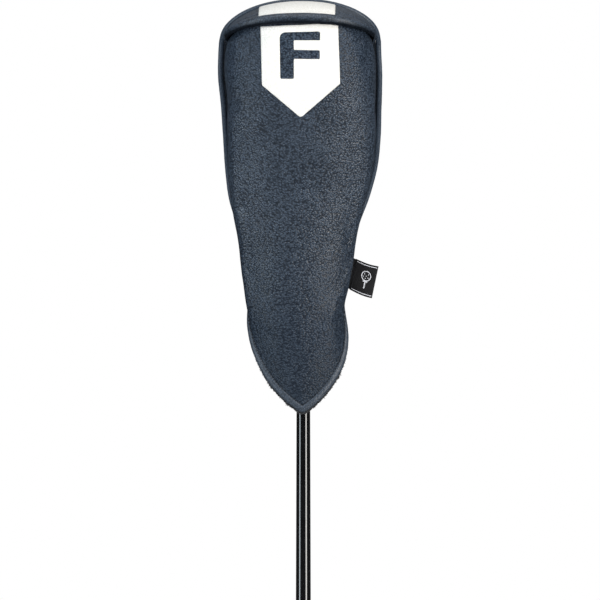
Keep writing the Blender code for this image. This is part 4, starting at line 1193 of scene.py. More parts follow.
def make_hem(name, back, seed):
    line = hem_line(back)
    return (
        hem_leather(name, line),
        hem_stitches(name + "_stitches", line),
        fleece_edge(name + "_fleece_edge", line, seed),
    )


front_hem, front_hem_stitches, front_fringe = make_hem("front_hem", False, seed=3)
back_hem, back_hem_stitches, back_fringe = make_hem("back_hem", True, seed=7)

# ================================================================= lining, foam and elastic
UNDER_LEATHER = 1.85  # depth under the skin where the next layer starts
LINING_STEP = 2.9  # how much deeper the lining lies behind the foam
ELASTIC_LEVELS = np.linspace(0.056, 0.112, 25)
ELASTIC_RIBS = 84  # half waves across the band


def lining_depth(level):
    return UNDER_LEATHER + LINING_STEP * ease(0.12, 0.34, level)


def foam_depth(level):
    return np.full_like(level, UNDER_LEATHER)


def lining_draw(level, from_seam):
    return np.maximum(0, drawn_in(level, from_seam) + 1.75 - lining_depth(level)), 0


def foam_draw(level, from_seam):
    return drawn_in(level, from_seam), drawn_in(level, from_seam)


def layer(
    name, levels, back, trim, columns, depth, thick, material, size, amount, coarse, seed,
    high=NEAR_TOP, draw=None,
):
    """Inner layer whose fine, rough grid is the inner one.

    size and amount are the roughness in mm; draw gives how far it is drawn in and thinned.
    """
    angles, from_seam, _ = panel_grid(levels, trim, columns, back)
    from_seam = from_seam + trim * 50.0
    normals = normal_at(angles, levels[:, None], high=high)
    points = cover(angles, levels[:, None])
    shift, thin = 0, 0
    if draw:
        shift, thin = draw(np.broadcast_to(levels[:, None], from_seam.shape), from_seam)
    outer_depth = depth(levels)[:, None] + 0 * from_seam + shift
    thick = np.maximum(thick - thin, 0.5)
    rough = 0.6 * noise(points, size, seed) + 0.4 * noise(points, size * 0.45, seed + 1)
    inner = points - normals * (outer_depth + thick + amount * rough)[..., None]
    outer = (points - normals * outer_depth[..., None])[::coarse, ::coarse]
    # the fine grid faces inwards, so it is laid out mirrored
    return closed_sheet(name, inner[:, ::-1], outer[:, ::-1], material)


LINING = dict(
    trim=0.07, depth=lining_depth, thick=1.35, material=FLEECE, size=3.4, amount=0.45, coarse=8
)
PAD = dict(depth=foam_depth, thick=2.3, material=FOAM, size=5.0, amount=0.12, coarse=4)
front_lining = layer(
    "front_lining_fleece", np.linspace(0.004, RIDGE, 177), back=False, columns=112, seed=81,
    high=BELOW_RIDGE, draw=lining_draw, **LINING,
)
back_lining = layer(
    "back_lining_fleece", np.linspace(0.004, 0.965, 177), back=True, columns=96, seed=85, **LINING
)
front_foam = layer(
    "front_foam_pad", np.linspace(0.335, 0.845, 49), back=False, trim=0.16, columns=48, seed=91,
    high=BELOW_RIDGE, draw=foam_draw, **PAD,
)
back_foam = layer(
    "back_foam_pad", np.linspace(0.335, 0.93, 49), back=True, trim=0.12, columns=40, seed=95, **PAD
)


def neck_elastic():
    columns = 168
    levels = ELASTIC_LEVELS
    angles = panel_grid(levels, 0.14, columns, True)[0]
    normals = normal_at(angles, levels[:, None])
    ribs = 0.22 * np.cos(np.linspace(0, 1, columns + 1) * ELASTIC_RIBS * PI)[None, :]
    ribs = ribs + 0.10 * np.cos(np.linspace(0, 12 * PI, len(levels)))[:, None]
    points = cover(angles, levels[:, None])
    inner = points - normals * (4.75 - ribs)[..., None]
    outer = (points - normals * 3.85)[::4, ::4]
    return closed_sheet("neck_elastic_ribbed", inner[:, ::-1], outer[:, ::-1], ELASTIC)


elastic = neck_elastic()

# ================================================================= white patch and stripe
# x, z and rounding of each corner
PATCH = [
    (-30.2, 1129.5, 0.0), (24.4, 1132.0, 0.0), (26.0, 1089.5, 1.8), (-1.9, 1065.5, 2.6),
    (-29.3, 1088.5, 1.8),
]
# the letter cut out of the patch
LETTER = [
    (-16.4, 1092.7, 1.2), (-16.9, 1125.4, 4.6), (11.8, 1126.2, 1.6), (11.8, 1119.9, 0.6),
    (-6.8, 1119.9, 0.8), (-6.8, 1113.2, 0.8), (11.6, 1112.8, 1.0), (11.6, 1106.6, 1.0),
    (-6.8, 1106.8, 0.8), (-6.8, 1092.7, 1.2),
]
SLAB_X, SLAB_Z, SLAB_CELL = (-33.0, 29.0), (1063.0, 1134.0), 0.9
PATCH_STITCH_PITCH = 1.9
PATCH_STITCH_TOP_Z = 1128.8
STRIPE_X = (-31.5, 22.5)


def rounded_outline(corners):
    out = []
    count = len(corners)
    for i, (x, z, radius) in enumerate(corners):
        corner = Vector((x, z))
        if radius <= 0:
            out.append(tuple(corner))
            continue
        before = (Vector(corners[i - 1][:2]) - corner).normalized()
        after = (Vector(corners[(i + 1) % count][:2]) - corner).normalized()
        half = math.acos(max(-1, min(1, before.dot(after)))) / 2
        reach = radius / math.tan(half)
        out += corner_curve(corner + before * reach, corner, corner + after * reach, 6)
    return out


def boolean(obj, cutter, operation="DIFFERENCE"):
    modifier = obj.modifiers.new(operation.lower(), "BOOLEAN")
    modifier.operation = operation
    modifier.solver = "EXACT"
    modifier.object = cutter
    return obj


def applied(obj, name, material, sharp_angle=30):
    """New object with the modifiers and the placing of obj baked in."""
    bpy.context.view_layer.update()
    graph = bpy.context.evaluated_depsgraph_get()
    mesh = bpy.data.meshes.new_from_object(obj.evaluated_get(graph))
    mesh.transform(obj.matrix_world)
    mesh.name = name
    mesh.materials.clear()
    mesh.materials.append(material)
    soft_shade(mesh, sharp_angle)
    return link(bpy.data.objects.new(name, mesh))


def upright_prism(name, outline, half):
    points = [(x, y, z) for y in (-half, half) for x, z in outline]
    obj = scrap_mesh(name, points, prism_faces(len(outline), flip=True))
    face_outwards(obj.data)
    return obj


def edge_distance(points, loops):
    """Distance of points (x, z) from the nearest of the closed outlines."""
    best = np.full(len(points), 1e9)
    for loop in loops:
        loop = np.array(loop)
        for start, end in zip(loop, np.roll(loop, -1, axis=0)):
            side = end - start
            share = np.clip(((points - start) @ side) / max(1e-9, side @ side), 0, 1)
            gap = np.linalg.norm(points - (start + share[:, None] * side), axis=1)
            best = np.minimum(best, gap)
    return best


def front_surface():
    """Search tree of the front leather, without its outermost columns."""
    grid = FRONT_SKIN[:, 12:-12]
    return BVHTree.FromPolygons(grid.reshape(-1, 3).tolist(), quads(*grid.shape[:2]))


FRONT_TREE = front_surface()
PATCH_LOOP = rounded_outline(PATCH)
LETTER_LOOP = rounded_outline(LETTER)


def on_front(x, z, height):
    """Point height mm off the front leather at x, z, and the normal there."""
    hit, normal, _, _ = FRONT_TREE.ray_cast(Vector((x, -300.0, z)), Vector((0, 1, 0)))
    if hit is None:
        hit, normal, _, _ = FRONT_TREE.find_nearest(Vector((x, -100.0, z)))
    if normal.y > 0:
        normal = -normal
    return np.array(hit + normal * height), np.array(normal)


def white_patch():
    """A flat slab cut to shape, then laid on the front leather."""
    columns = int(round((SLAB_X[1] - SLAB_X[0]) / SLAB_CELL)) + 1
    rows = int(round((SLAB_Z[1] - SLAB_Z[0]) / SLAB_CELL)) + 1
    x, z = np.meshgrid(np.linspace(*SLAB_X, columns), np.linspace(*SLAB_Z, rows))
    outer, inner = (np.stack([x, np.full_like(x, y), z], -1) for y in (-1.0, 0.0))
    slab = scrap_mesh("slab", *sheet(outer, inner))
    boolean(slab, upright_prism("patch_cut", PATCH_LOOP, 8.0), "INTERSECT")
    boolean(slab, upright_prism("letter_cut", LETTER_LOOP, 9.0))
    obj = applied(slab, "white_leather_patch", WHITE_LEATHER, 0)
    points = np.array([vertex.co[:] for vertex in obj.data.vertices]) / MM
    edges = edge_distance(points[:, [0, 2]], [PATCH_LOOP, LETTER_LOOP])
    for i, (x, y, z) in enumerate(points):
        height = -0.25
        if -y > 0.5:
            # rounded cut edge, and a soft valley under the edge stitching
            valley = bell(edges[i], width=0.5, centre=1.6)
            height = 0.82 - 0.34 * bell(edges[i], 0.32) - 0.10 * valley
        points[i] = on_front(x, z, height)[0]
    obj.data.vertices.foreach_set("co", (points * MM).astype(np.float32).ravel())
    obj.data.update()
    face_outwards(obj.data)
    soft_shade(obj.data, 62)
    return obj


def inset(loop, distance, step=0.8):
    """The outline with points every step or so, moved in by distance."""
    loop = np.array(loop)
    dense = []
    for start, end in zip(loop, np.roll(loop, -1, axis=0)):
        count = max(1, int(np.linalg.norm(end - start) / step))
        dense += [start + (end - start) * j / count for j in range(count)]
    dense = np.array(dense)
    after = np.roll(dense, -1, axis=0)
    forward = unit(after - np.roll(dense, 1, axis=0))
    normal = np.stack([-forward[:, 1], forward[:, 0]], -1)
    area = 0.5 * np.sum(dense[:, 0] * after[:, 1] - after[:, 0] * dense[:, 1])
    return dense + normal * (distance if area > 0 else -distance)


def patch_stitches():
    parts = []
    for loop, distance in ((PATCH_LOOP, 1.6), (LETTER_LOOP, -1.3)):
        ring = inset(loop, distance)
        ring = np.concatenate([ring, ring[:1]])
        ring = np.stack([ring[:, 0], 0 * ring[:, 0], ring[:, 1]], -1)
        path, _ = resample(ring, PATCH_STITCH_PITCH)
        for start, end in zip(path[:-1], path[1:]):
            if max(start[2], end[2]) > PATCH_STITCH_TOP_Z:
                continue
            first, last = start + (end - start) * 0.15, start + (end - start) * 0.85
            low, normal = on_front(first[0], first[2], 0.76)
            high, _ = on_front(last[0], last[2], 0.76)
            parts.append(capsule(low, high, 0.17, normal))
    return join_parts("patch_stitches", parts, WHITE_THREAD)


def white_stripe():
    """White band over the gusset."""
    levels = np.linspace(0.9025, 0.9905, 41)
    cells = 64
    xs = np.linspace(*STRIPE_X, cells + 1)
    fine = np.linspace(-1.2, 1.2, 700)

    def angles_at(places, level):
        return np.interp(places, cover(fine, np.full_like(fine, level))[:, 0], fine)

    # its sides waver a little on the way up
    angles = np.array([angles_at(xs + 0.15 * math.sin(40 * level), level) for level in levels])
    normals = normal_at(angles, levels[:, None], ABOVE_RIDGE, TOP_EDGE)
    points = cover(angles, levels[:, None])
    index = np.arange(cells + 1)
    from_end = np.minimum(index, cells - index)[None, :] * ((STRIPE_X[1] - STRIPE_X[0]) / cells)
    height = 0.95 - 0.35 * bell(from_end, 0.5) + 0.05 * noise(points, 7, seed=33)
    height = height - 0.8 * ease(0.978, 0.9905, levels)[:, None]
    outer = points + normals * height[..., None]
    inner = (points - normals * 0.15)[::8, ::8]
    return closed_sheet("white_stripe_leather", outer, inner, WHITE_LEATHER)


patch = white_patch()
patch_stitch = patch_stitches()
stripe = white_stripe()

# ================================================================= woven label
LABEL_HINGE = np.array([35.182, 4.257, 954.313])
LABEL_WIDTH, LABEL_LENGTH = 22.6, 17.0
LABEL_DROP = np.array([0.955, 0.0, -0.297])  # from the seam to the fold
LABEL_UP = np.array([0.215, 0.0, 0.976])  # along the seam
# spots on the motif's ball: mm from the seam, mm along it
BALL = (9.6, 2.6)
BALL_SPOTS = [(9.6, 2.6), (11.0, 3.9), (8.2, 3.7), (9.2, 0.9), (11.1, 1.6), (7.7, 1.9)]


def label_at(share, width, out):
    """share runs 0..1 from seam to fold, width is mm along the seam, out is mm off the middle."""
    share, width, out = np.broadcast_arrays(
        np.asarray(share, float), np.asarray(width, float), np.asarray(out, float)
    )
    point = LABEL_HINGE + LABEL_DROP * (0.4 + LABEL_LENGTH * share)[..., None]
    point = point + LABEL_UP * width[..., None]
    y = -1.6 * np.sin(share * 2.6) + 0.55 + out + 0.25 * np.sin(width * 0.35 + 2 * share)
    z = -1.3 * np.sin(share * 2.4) + 0.5 * (width / 11.3) * share
    return point + np.stack([0 * y, y, z], -1)


def label_half(share):
    """Half the label's thickness: fullest in the middle, pressed flat at the fold."""
    full = 0.34 + 0.22 * np.sin(np.clip(share, 0, 1) * PI) ** 0.7
    return full - 0.32 * ease(0.93, 1.0, share)


def label_body():
    places = np.linspace(-0.5, 0.5, 65) * LABEL_WIDTH
    share, width = np.meshgrid(np.linspace(0.0, 1, 53), places, indexing="ij")
    half = label_half(share) + 0.02 * np.cos(width * 2 * PI / 0.7)
    outer, inner = label_at(share, width, -half), label_at(share, width, half)
    return closed_sheet("woven_label", outer[:, ::-1], inner[::4, ::4][:, ::-1], LABEL)


def label_sewn_end():
    """The end in the seam, which bends with the label where it comes out."""
    share, width = np.meshgrid(
        np.linspace(-0.22, 0.05, 25), np.linspace(-11.0, 11.0, 45), indexing="ij"
    )
    outer, inner = label_at(share, width, -0.27), label_at(share, width, 0.27)[::2, ::4]
    return closed_sheet("label_sewn_end", outer[:, ::-1], inner[:, ::-1], LABEL)


def strip(points, thickness):
    """Thin woven line on the label's face through points (mm from the seam, mm along it)."""
    points = np.array(points, float)
    forward = unit(np.gradient(points, axis=0))
    side = np.stack([-forward[:, 1], forward[:, 0]], -1) * thickness / 2
    rows = np.stack([points + side, points, points - side], 1)
    share, width = rows[..., 0] / LABEL_LENGTH, rows[..., 1]
    half = label_half(share)
    outer = label_at(share, width, -(half + 0.10))
    inner = label_at(share, width, -(half - 0.05))
    return sheet(outer[:, ::-1], inner[:, ::-1])


def circle(centre, radius, count):
    return [
        (centre[0] + radius * math.cos(angle), centre[1] + radius * math.sin(angle))
        for angle in np.linspace(0, 2 * PI, count)
    ]


def label_motif():
    """A line along each edge and a plain ball on a tee."""
    parts = [
        strip([(x, place) for x in np.linspace(1.2, 16.2, 22)], 0.45) for place in (-9.9, 9.9)
    ]
    parts.append(strip(circle(BALL, 3.3, 41), 0.62))
    parts += [strip(circle(spot, 0.22, 9), 0.3) for spot in BALL_SPOTS]
    shares = np.linspace(0, 1, 8)
    parts.append(strip([(7.9 + 3.4 * share, -1.35) for share in shares], 0.7))
    parts.append(strip([(BALL[0], -1.6 - 4.6 * share) for share in shares], 0.75))
    return join_parts("label_motif", parts, LABEL_PRINT)


def label_stitches():
    """A row of thread where the label goes into the seam."""
    parts = []
    for k in range(11):
        middle = -10.2 + 2.04 * k
        ends = [label_at(0.06, middle + half, -0.62) for half in (-0.65, 0.65)]
        parts.append(capsule(*ends, 0.16, np.array([0.0, -1.0, 0.0])))
    return join_parts("label_stitches", parts, THREAD)


label = label_body()
label_root = label_sewn_end()
label_print = label_motif()
label_stitch = label_stitches()

# ================================================================= shaft and grip
# radius, z
SHAFT_PROFILE = [
    (4.25, 1058.0), (4.25, 1004.0), (4.6, 960.0), (4.95, 849.0), (7.45, 60.0), (7.55, 3.4)
]
SHAFT_WALL = 1.15
GRIP_PROFILE = [
    (8.2, 268.0), (8.7, 264.5), (9.7, 190.0), (10.7, 110.0), (11.6, 50.0), (12.3, 28.0),
    (13.5, 14.0), (15.0, 7.0), (15.3, 3.3),
]
GRIP_TOP, GRIP_BOTTOM = 268.0, 3.3
CAP_PROFILE = [
    (0.0, 3.0), (14.6, 3.0), (15.1, 2.75), (15.4, 2.2), (15.4, 0.9), (15.1, 0.35), (14.5, 0.0),
    (12.2, 0.0), (11.9, 0.45), (11.1, 0.45), (10.8, 0.0), (5.2, 0.0), (4.9, 0.35), (4.2, 0.35),
    (3.9, 0.0), (0.0, 0.0),
]


def radius_at(profile, z):
    heights, radii = zip(*sorted((height, radius) for radius, height in profile))
    return float(np.interp(z, heights, radii))


def grip_dent(z, angle):
    """Moulded pattern's depth: grooves round the ends, chevron rows of pockets between."""
    if z > 246:
        return 0.32 * max(0.0, math.cos(2 * PI * (z - 246) / 4.2)) ** 3 * (z < 263)
    if z < 40:
        return 0.30 * max(0.0, math.cos(2 * PI * z / 5.2)) ** 4 * (z > 9)
    row = (z - 40) / 3.1
    saw = abs(((angle / (2 * PI) * 8) % 1.0) - 0.5) * 2
    wave = max(0.0, math.cos(2 * PI * (row + 1.6 * saw) / 2)) ** 4
    return 0.36 * wave * (1 if 0.12 < saw < 0.88 else 0.25)


def grip_bulge(radius, z, angle):
    on_outside = abs(radius - radius_at(GRIP_PROFILE, z)) < 1e-6
    return -grip_dent(z, angle) if on_outside and 3.4 < z < 267.9 else 0.0


def grip_sleeve():
    heights = np.concatenate([[267.4, 266.2, 264.5], np.linspace(263.4, 3.9, 312), [GRIP_BOTTOM]])
    outer = [(8.2 - 0.25, GRIP_TOP)] + [(radius_at(GRIP_PROFILE, z), z) for z in heights]
    bore_top = radius_at(SHAFT_PROFILE, GRIP_TOP) + 0.75
    bore = [(8.15, GRIP_BOTTOM), (8.1, 60.0), (bore_top, GRIP_TOP)]
    return lathe("grip_rubber_sleeve", outer + bore, GRIP, 120, 60, grip_bulge)


shaft = lathe(
    "shaft_tube",
    [(4.05, 1058.0), (4.25, 1057.7)] + SHAFT_PROFILE[1:]
    + [(radius - SHAFT_WALL, z) for radius, z in reversed(SHAFT_PROFILE)],
    SHAFT, sharp_angle=40,
)
grip = grip_sleeve()
cap = lathe("grip_end_cap", CAP_PROFILE, GRIP_CAP)

# ================================================================= hosel hardware
# radius, z, rounding
FERRULE_PROFILE = [
    (6.95, 1019.7, 0), (6.95, 1017.3, 0.15), (6.62, 1016.9, 0.12), (6.62, 1016.3, 0.12),
    (6.95, 1015.9, 0.2), (6.6, 1012.2, 1.2), (5.9, 1007.0, 1.2), (5.3, 1003.0, 0.3),
    (4.6, 1003.0, 0), (4.6, 1019.7, 0),
]
ADAPTER_PROFILE = [
    (5.15, 1071.5, 0), (5.75, 1070.5, 0.3), (5.75, 1026.0, 0), (7.0, 1026.0, 0.3),
    (7.1, 1025.0, 0.2), (7.1, 1024.4, 0), (7.1, 1021.2, 0), (7.1, 1020.3, 0.2),
    (6.8, 1020.0, 0.2), (4.55, 1020.0, 0), (4.55, 1060.0, 0), (2.62, 1060.0, 0),
    (2.62, 1071.5, 0),
]
LOFT_RING_PROFILE = [
    (6.9, 1031.2, 0), (7.15, 1030.8, 0.2), (7.15, 1029.5, 0.1), (6.95, 1029.3, 0.1),
    (6.95, 1028.3, 0.1), (7.15, 1028.1, 0.1), (7.15, 1026.7, 0.2), (6.9, 1026.3, 0.2),
    (6.05, 1026.3, 0), (6.05, 1031.2, 0),
]
# radius, z
WASHER_PROFILE = [
    (3.8, 1076.1), (3.95, 1075.95), (3.95, 1075.45), (3.8, 1075.3), (2.95, 1075.3),
    (2.85, 1075.4), (2.85, 1076.0), (2.95, 1076.1),
]


def thread_profile(crest, root, top, bottom, pitch):
    out = []
    z = top
    while z - pitch > bottom:
        out += [
            (root, z), (crest, z - 0.35 * pitch), (crest, z - 0.6 * pitch),
            (root, z - 0.95 * pitch),
        ]
        z -= pitch
    return out


SCREW_PROFILE = [
    (0.0, 1078.4), (1.9, 1078.4), (1.95, 1081.0), (3.3, 1081.0), (3.7, 1080.85), (3.85, 1080.5),
    (3.85, 1076.6), (3.7, 1076.4), (2.45, 1076.4), (2.45, 1072.5),
    *thread_profile(crest=2.45, root=2.08, top=1072.3, bottom=1064.8, pitch=0.8),
    (2.2, 1064.6), (1.9, 1064.0), (0.0, 1064.0),
]


def knurl(radius, z, angle):
    on_collar = radius > 6.9 and 1020.8 < z < 1024.8
    return -0.16 * max(0.0, math.cos(36 * angle)) ** 2 if on_collar else 0.0


def hex_flat(radius, angle):
    """Added to a round socket wall's radius, gives it six flats."""
    off_middle = (angle % (PI / 3)) - PI / 6
    return radius * math.cos(PI / 6) / math.cos(off_middle) - radius + 0.05


def screw_socket(radius, z, angle):
    return hex_flat(radius, angle) if 1.85 < radius < 2.0 and z > 1078.0 else 0.0


def weight_socket(radius, z, angle):
    return hex_flat(radius, angle) if 2.2 < radius < 2.45 and z < 4.3 else 0.0


ferrule = lathe("ferrule_turned", rounded_profile(FERRULE_PROFILE), FERRULE)
adapter = lathe(
    "hosel_adapter_sleeve", rounded_profile(ADAPTER_PROFILE), ALUMINIUM, 144, bulge=knurl
)
loft_ring = lathe("loft_ring_turned", rounded_profile(LOFT_RING_PROFILE), ALUMINIUM)
washer = lathe("hosel_washer_turned", WASHER_PROFILE, SCREW, 64)
screw = lathe("hosel_screw_turned", SCREW_PROFILE, SCREW, bulge=screw_socket)

# ================================================================= club head
# Head points are (toe, back, crown) in mm from a point on the shaft's axis; meshes hold them
# as (back, toe, crown).
LIE, LOFT, TURN = math.radians(57.5), math.radians(16.0), math.radians(-30.0)
HEAD_Z = 1.092  # metres
TOE_DIR = Vector((0, -math.sin(LIE), math.cos(LIE)))
CROWN_DIR = Vector((0, -math.cos(LIE), -math.sin(LIE)))
BACK_DIR = Vector((1, 0, 0))
HEAD = Matrix((BACK_DIR, TOE_DIR, CROWN_DIR)).transposed()
HEAD = (Matrix.Rotation(TURN, 3, "Z") @ HEAD).to_4x4()
HEAD.translation = Vector((0, 0, HEAD_Z))

CENTRE_TOE, CENTRE_BACK = 33.0, 20.0
HALF_TOE, HALF_BACK, HALF_FACE = 53.0, 45.0, 42.0
WAIST, CROWN_RISE, SOLE_DROP = 15.0, 22.0, 15.0
FACE_TOE, FACE_BACK, FACE_CROWN = 36.0, -14.0, 3.0  # a point the face passes
FACE_MIDDLE = 18.0  # the face middle's crown coordinate
FACE_CURVE = 580.0  # twice the face's bulge radius
FACE_HALF_TOE, FACE_HALF_CROWN, FACE_POWER = 34.0, 11.6, 2.6
NOTCH_TOE = -14.0  # centre of the crown's notch at the hosel
OPENING_BASE = WAIST + 2.0
WEIGHT_PLACE = HEAD @ Matrix.Translation(Vector((47.0 * MM, 42.0 * MM, 0)))
CUTTER_CELLS = (16, 14, 72)  # of blanks used for cutting: above the waist, below, around

GROOVES, GROOVE_BASE, GROOVE_PITCH = 6, 9.2, 3.05
GROOVE_SECTION = ((-0.32, -0.6), (0.32, -0.6), (0.16, 0.22), (-0.16, 0.22))  # crown, back
LONG_GROOVES = ((8.0, 25.5), (46.5, 64.0))  # from, to along the toe direction
SHORT_GROOVES = ((14.0, 25.5), (46.5, 58.0))

# radius, z along the crown direction
SEAL_PROFILE = [
    (6.4, 7.0), (6.6, 6.8), (6.6, 6.4), (6.4, 6.2), (4.7, 6.2), (4.5, 6.4), (4.5, 6.8), (4.7, 7.0)
]
WEIGHT_PROFILE = [
    (0.0, 12.3), (3.4, 12.3), (3.8, 11.8),
    *thread_profile(crest=3.95, root=3.45, top=11.6, bottom=7.2, pitch=1.0),
    (3.5, 7.0), (3.5, 5.9), (6.9, 5.9), (6.9, 3.1), (6.75, 2.5), (6.4, 2.2), (5.6, 2.2),
    (5.4, 2.45), (4.8, 2.45), (4.6, 2.2), (2.45, 2.2), (2.35, 3.8), (0.0, 3.8),
]


def head_object(name, points, faces):
    obj = scrap_mesh(name, [(back, toe, crown) for toe, back, crown in points], faces)
    obj.matrix_world = HEAD
    face_outwards(obj.data, merge=True)
    return obj


def oval_reach(cosine, sine, half_across, half_up, power):
    """Distance from a superellipse's centre to its edge."""
    return (abs(cosine / half_across) ** power + abs(sine / half_up) ** power) ** (-1 / power)


def head_point(around, height, shrink=0.0):
    """Point of the head's skin; around is from the toe, height -1 at the sole to 1 at the crown."""
    cosine, sine = math.cos(around), math.sin(around)
    half_back = (HALF_BACK if sine >= 0 else HALF_FACE) - shrink
    power = 2.3 if sine >= 0 else 2.9
    reach = oval_reach(cosine, sine, HALF_TOE - shrink, half_back, power)
    turn = abs(height) * PI / 2
    inwards = max(0.0, math.cos(turn))
    if height >= 0:
        size, rise = inwards**0.92, (CROWN_RISE - shrink) * math.sin(turn)
    else:
        size, rise = inwards**0.62, -(SOLE_DROP - shrink) * math.sin(turn) ** 1.25
    toe, back = CENTRE_TOE + reach * size * cosine, CENTRE_BACK + reach * size * sine
    if rise > 0:
        rise *= 1 - 0.12 * (back - CENTRE_BACK) / HALF_BACK
    lift = 0.0
    if rise < 0:
        lift = 2.2 * ((toe - CENTRE_TOE) / HALF_TOE) ** 2 * (-rise / SOLE_DROP)
    return (toe, back, WAIST + rise + lift)


def blank(name, shrink, above=26, below=22, around=120):
    """The whole head as a solid, shrunk by shrink mm."""
    heights = [-(k / below) for k in range(below - 1, 0, -1)] + [k / above for k in range(above)]
    points = [head_point(0.0, -1.0, shrink)]
    points += [
        head_point(2 * PI * i / around, height, shrink) for height in heights for i in range(around)
    ]
    points.append(head_point(0.0, 1.0, shrink))
    top = len(points) - 1
    faces = []
    for i in range(around):
        j = (i + 1) % around
        faces.append((0, 1 + j, 1 + i))
        faces.append((top, top - around + i, top - around + j))
    faces += quads(len(heights), around, start=1, wrap=True)
    return head_object(name, points, faces)


def cutter_blank(name, shrink):
    return blank(name, shrink, *CUTTER_CELLS)


def face_depth(toe, crown, setback=0.0):
    """Back coordinate of the lofted, bulged face."""
    bulge = ((toe - FACE_TOE) ** 2 + (crown - FACE_MIDDLE) ** 2) / FACE_CURVE
    return FACE_BACK + (crown - FACE_CROWN) * math.tan(LOFT) + setback + bulge


def face_block(name, setback):
    """Everything in front of the face, moved back by setback."""
    across, tall = 40, 20
    points = []
    for is_flat in (False, True):
        for j in range(tall + 1):
            for i in range(across + 1):
                toe, crown = -30.0 + 136.0 * i / across, -14.0 + 72.0 * j / tall
                points.append((toe, -70.0 if is_flat else face_depth(toe, crown, setback), crown))
    row, off = across + 1, (across + 1) * (tall + 1)
    faces = []
    for curved, flat in zip(quads(tall + 1, row, flip=True), quads(tall + 1, row, off)):
        faces += [curved, flat]
    rim = list(range(row)) + [j * row + across for j in range(1, tall + 1)]
    rim += [tall * row + i for i in range(across - 1, -1, -1)]
    rim += [j * row for j in range(tall - 1, 0, -1)]
    for this, following in zip(rim, rim[1:] + rim[:1]):
        faces.append((this, following, off + following, off + this))
    return head_object(name, points, faces)


def crown_prism(name, scale, front, notch, count=144):
    """Prism along the crown direction from the scaled plan, cut at the front and the hosel."""
    outline = []
    for i in range(count):
        toe, back, _ = head_point(2 * PI * i / count, 0.0)
        toe = CENTRE_TOE + (toe - CENTRE_TOE) * scale
        back = CENTRE_BACK + (back - CENTRE_BACK) * scale
        back = max(back, front + (toe - FACE_TOE) ** 2 / FACE_CURVE)
        from_notch = Vector((toe - NOTCH_TOE, back))
        if from_notch.length < notch:
            from_notch = from_notch.normalized() * notch
            toe, back = from_notch.x + NOTCH_TOE, from_notch.y
        outline.append((toe, back))
    points = [(toe, back, crown) for crown in (OPENING_BASE, 60.0) for toe, back in outline]
    return head_object(name, points, prism_faces(count))


def face_prism(name, grow, count=72):
    """Prism along the back direction from the face plate's outline."""
    outline = []
    for i in range(count):
        angle = 2 * PI * i / count
        cosine, sine = math.cos(angle), math.sin(angle)
        halves = FACE_HALF_TOE + grow, FACE_HALF_CROWN + grow
        reach = oval_reach(cosine, sine, *halves, FACE_POWER)
        toe, crown = FACE_TOE + 1.0 + reach * cosine, FACE_MIDDLE + reach * sine
        outline.append((toe, crown + 1.5 * (cosine > 0) * cosine))
    points = [(toe, back, crown) for back in (-60.0, 20.0) for toe, crown in outline]
    return head_object(name, points, prism_faces(count))


def turned_solid(name, profile, steps=64, place=None):
    obj = lathe(name, profile, None, steps, 0, None, SCRAP)
    face_outwards(obj.data)
    if place is not None:
        obj.matrix_world = place
    return obj


def head_shell(face_front):
    hollow = boolean(cutter_blank("hollow", 1.4), face_block("face_rear", 2.6))
    clip = boolean(cutter_blank("clip_blank", 0.35), face_block("clip_face", 0.4))
    hosel_core = turned_solid(
        "hosel_core", [(0.0, 1104.0), (8.2, 1104.0), (8.2, 1044.0), (0.0, 1044.0)]
    )
    hosel_neck = turned_solid(
        "hosel_neck", [(0.0, 1074.0), (7.2, 1074.0), (7.2, 1032.1), (6.9, 1031.5), (0.0, 1031.5)], 96
    )
    boss = turned_solid(
        "weight_boss", [(0.0, 14.9), (8.4, 14.9), (8.4, -5.0), (0.0, -5.0)], place=WEIGHT_PLACE
    )
    hosel_bore = turned_solid("bore_cut", [
        (0.0, 1112.0), (4.3, 1112.0), (4.3, 1075.0), (2.95, 1075.0),
        (2.95, 1072.0), (6.05, 1072.0), (6.05, 1020.0), (0.0, 1020.0),
    ])
    weight_bore = turned_solid("weight_cut", [
        (0.0, 13.4), (4.1, 13.4), (4.1, 7.3), (7.3, 7.3), (7.3, -8.0), (0.0, -8.0),
    ], place=WEIGHT_PLACE)
    body = blank("body_blank", 0.0)
    for cutter, operation in (
        (face_front, "DIFFERENCE"),
        (hollow, "DIFFERENCE"),
        (boolean(hosel_core, clip, "INTERSECT"), "UNION"),
        (hosel_neck, "UNION"),
        (boolean(boss, clip, "INTERSECT"), "UNION"),
        (crown_prism("crown_hole", scale=0.90, front=4.0, notch=16.2), "DIFFERENCE"),
        (face_prism("face_hole", grow=0.35), "DIFFERENCE"),
        (hosel_bore, "DIFFERENCE"),
        (weight_bore, "DIFFERENCE"),
    ):
        boolean(body, cutter, operation)
    return applied(body, "head_shell", STEEL)


def crown_panel(face_front):
    region = crown_prism("crown_region", scale=0.892, front=4.4, notch=16.7)
    solid = boolean(blank("crown_blank", 0.0), face_front)
    boolean(solid, region, "INTERSECT")
    boolean(solid, cutter_blank("crown_hollow", 1.2))
    return applied(solid, "crown_panel_gloss", CROWN)


def score_lines():
    """Cutter for the grooves either side of the face's middle, kept clear of the edge."""
    parts = []
    count = 12
    for k in range(GROOVES):
        middle = GROOVE_BASE + GROOVE_PITCH * k
        for start, end in SHORT_GROOVES if k in (0, GROOVES - 1) else LONG_GROOVES:
            points = [
                (toe, face_depth(toe, middle) + back + up * math.tan(LOFT), middle + up)
                for toe in np.linspace(start, end, count) for up, back in GROOVE_SECTION
            ]
            parts.append((points, tube_faces(count, 4)))
    return head_object("grooves", *merged(parts))


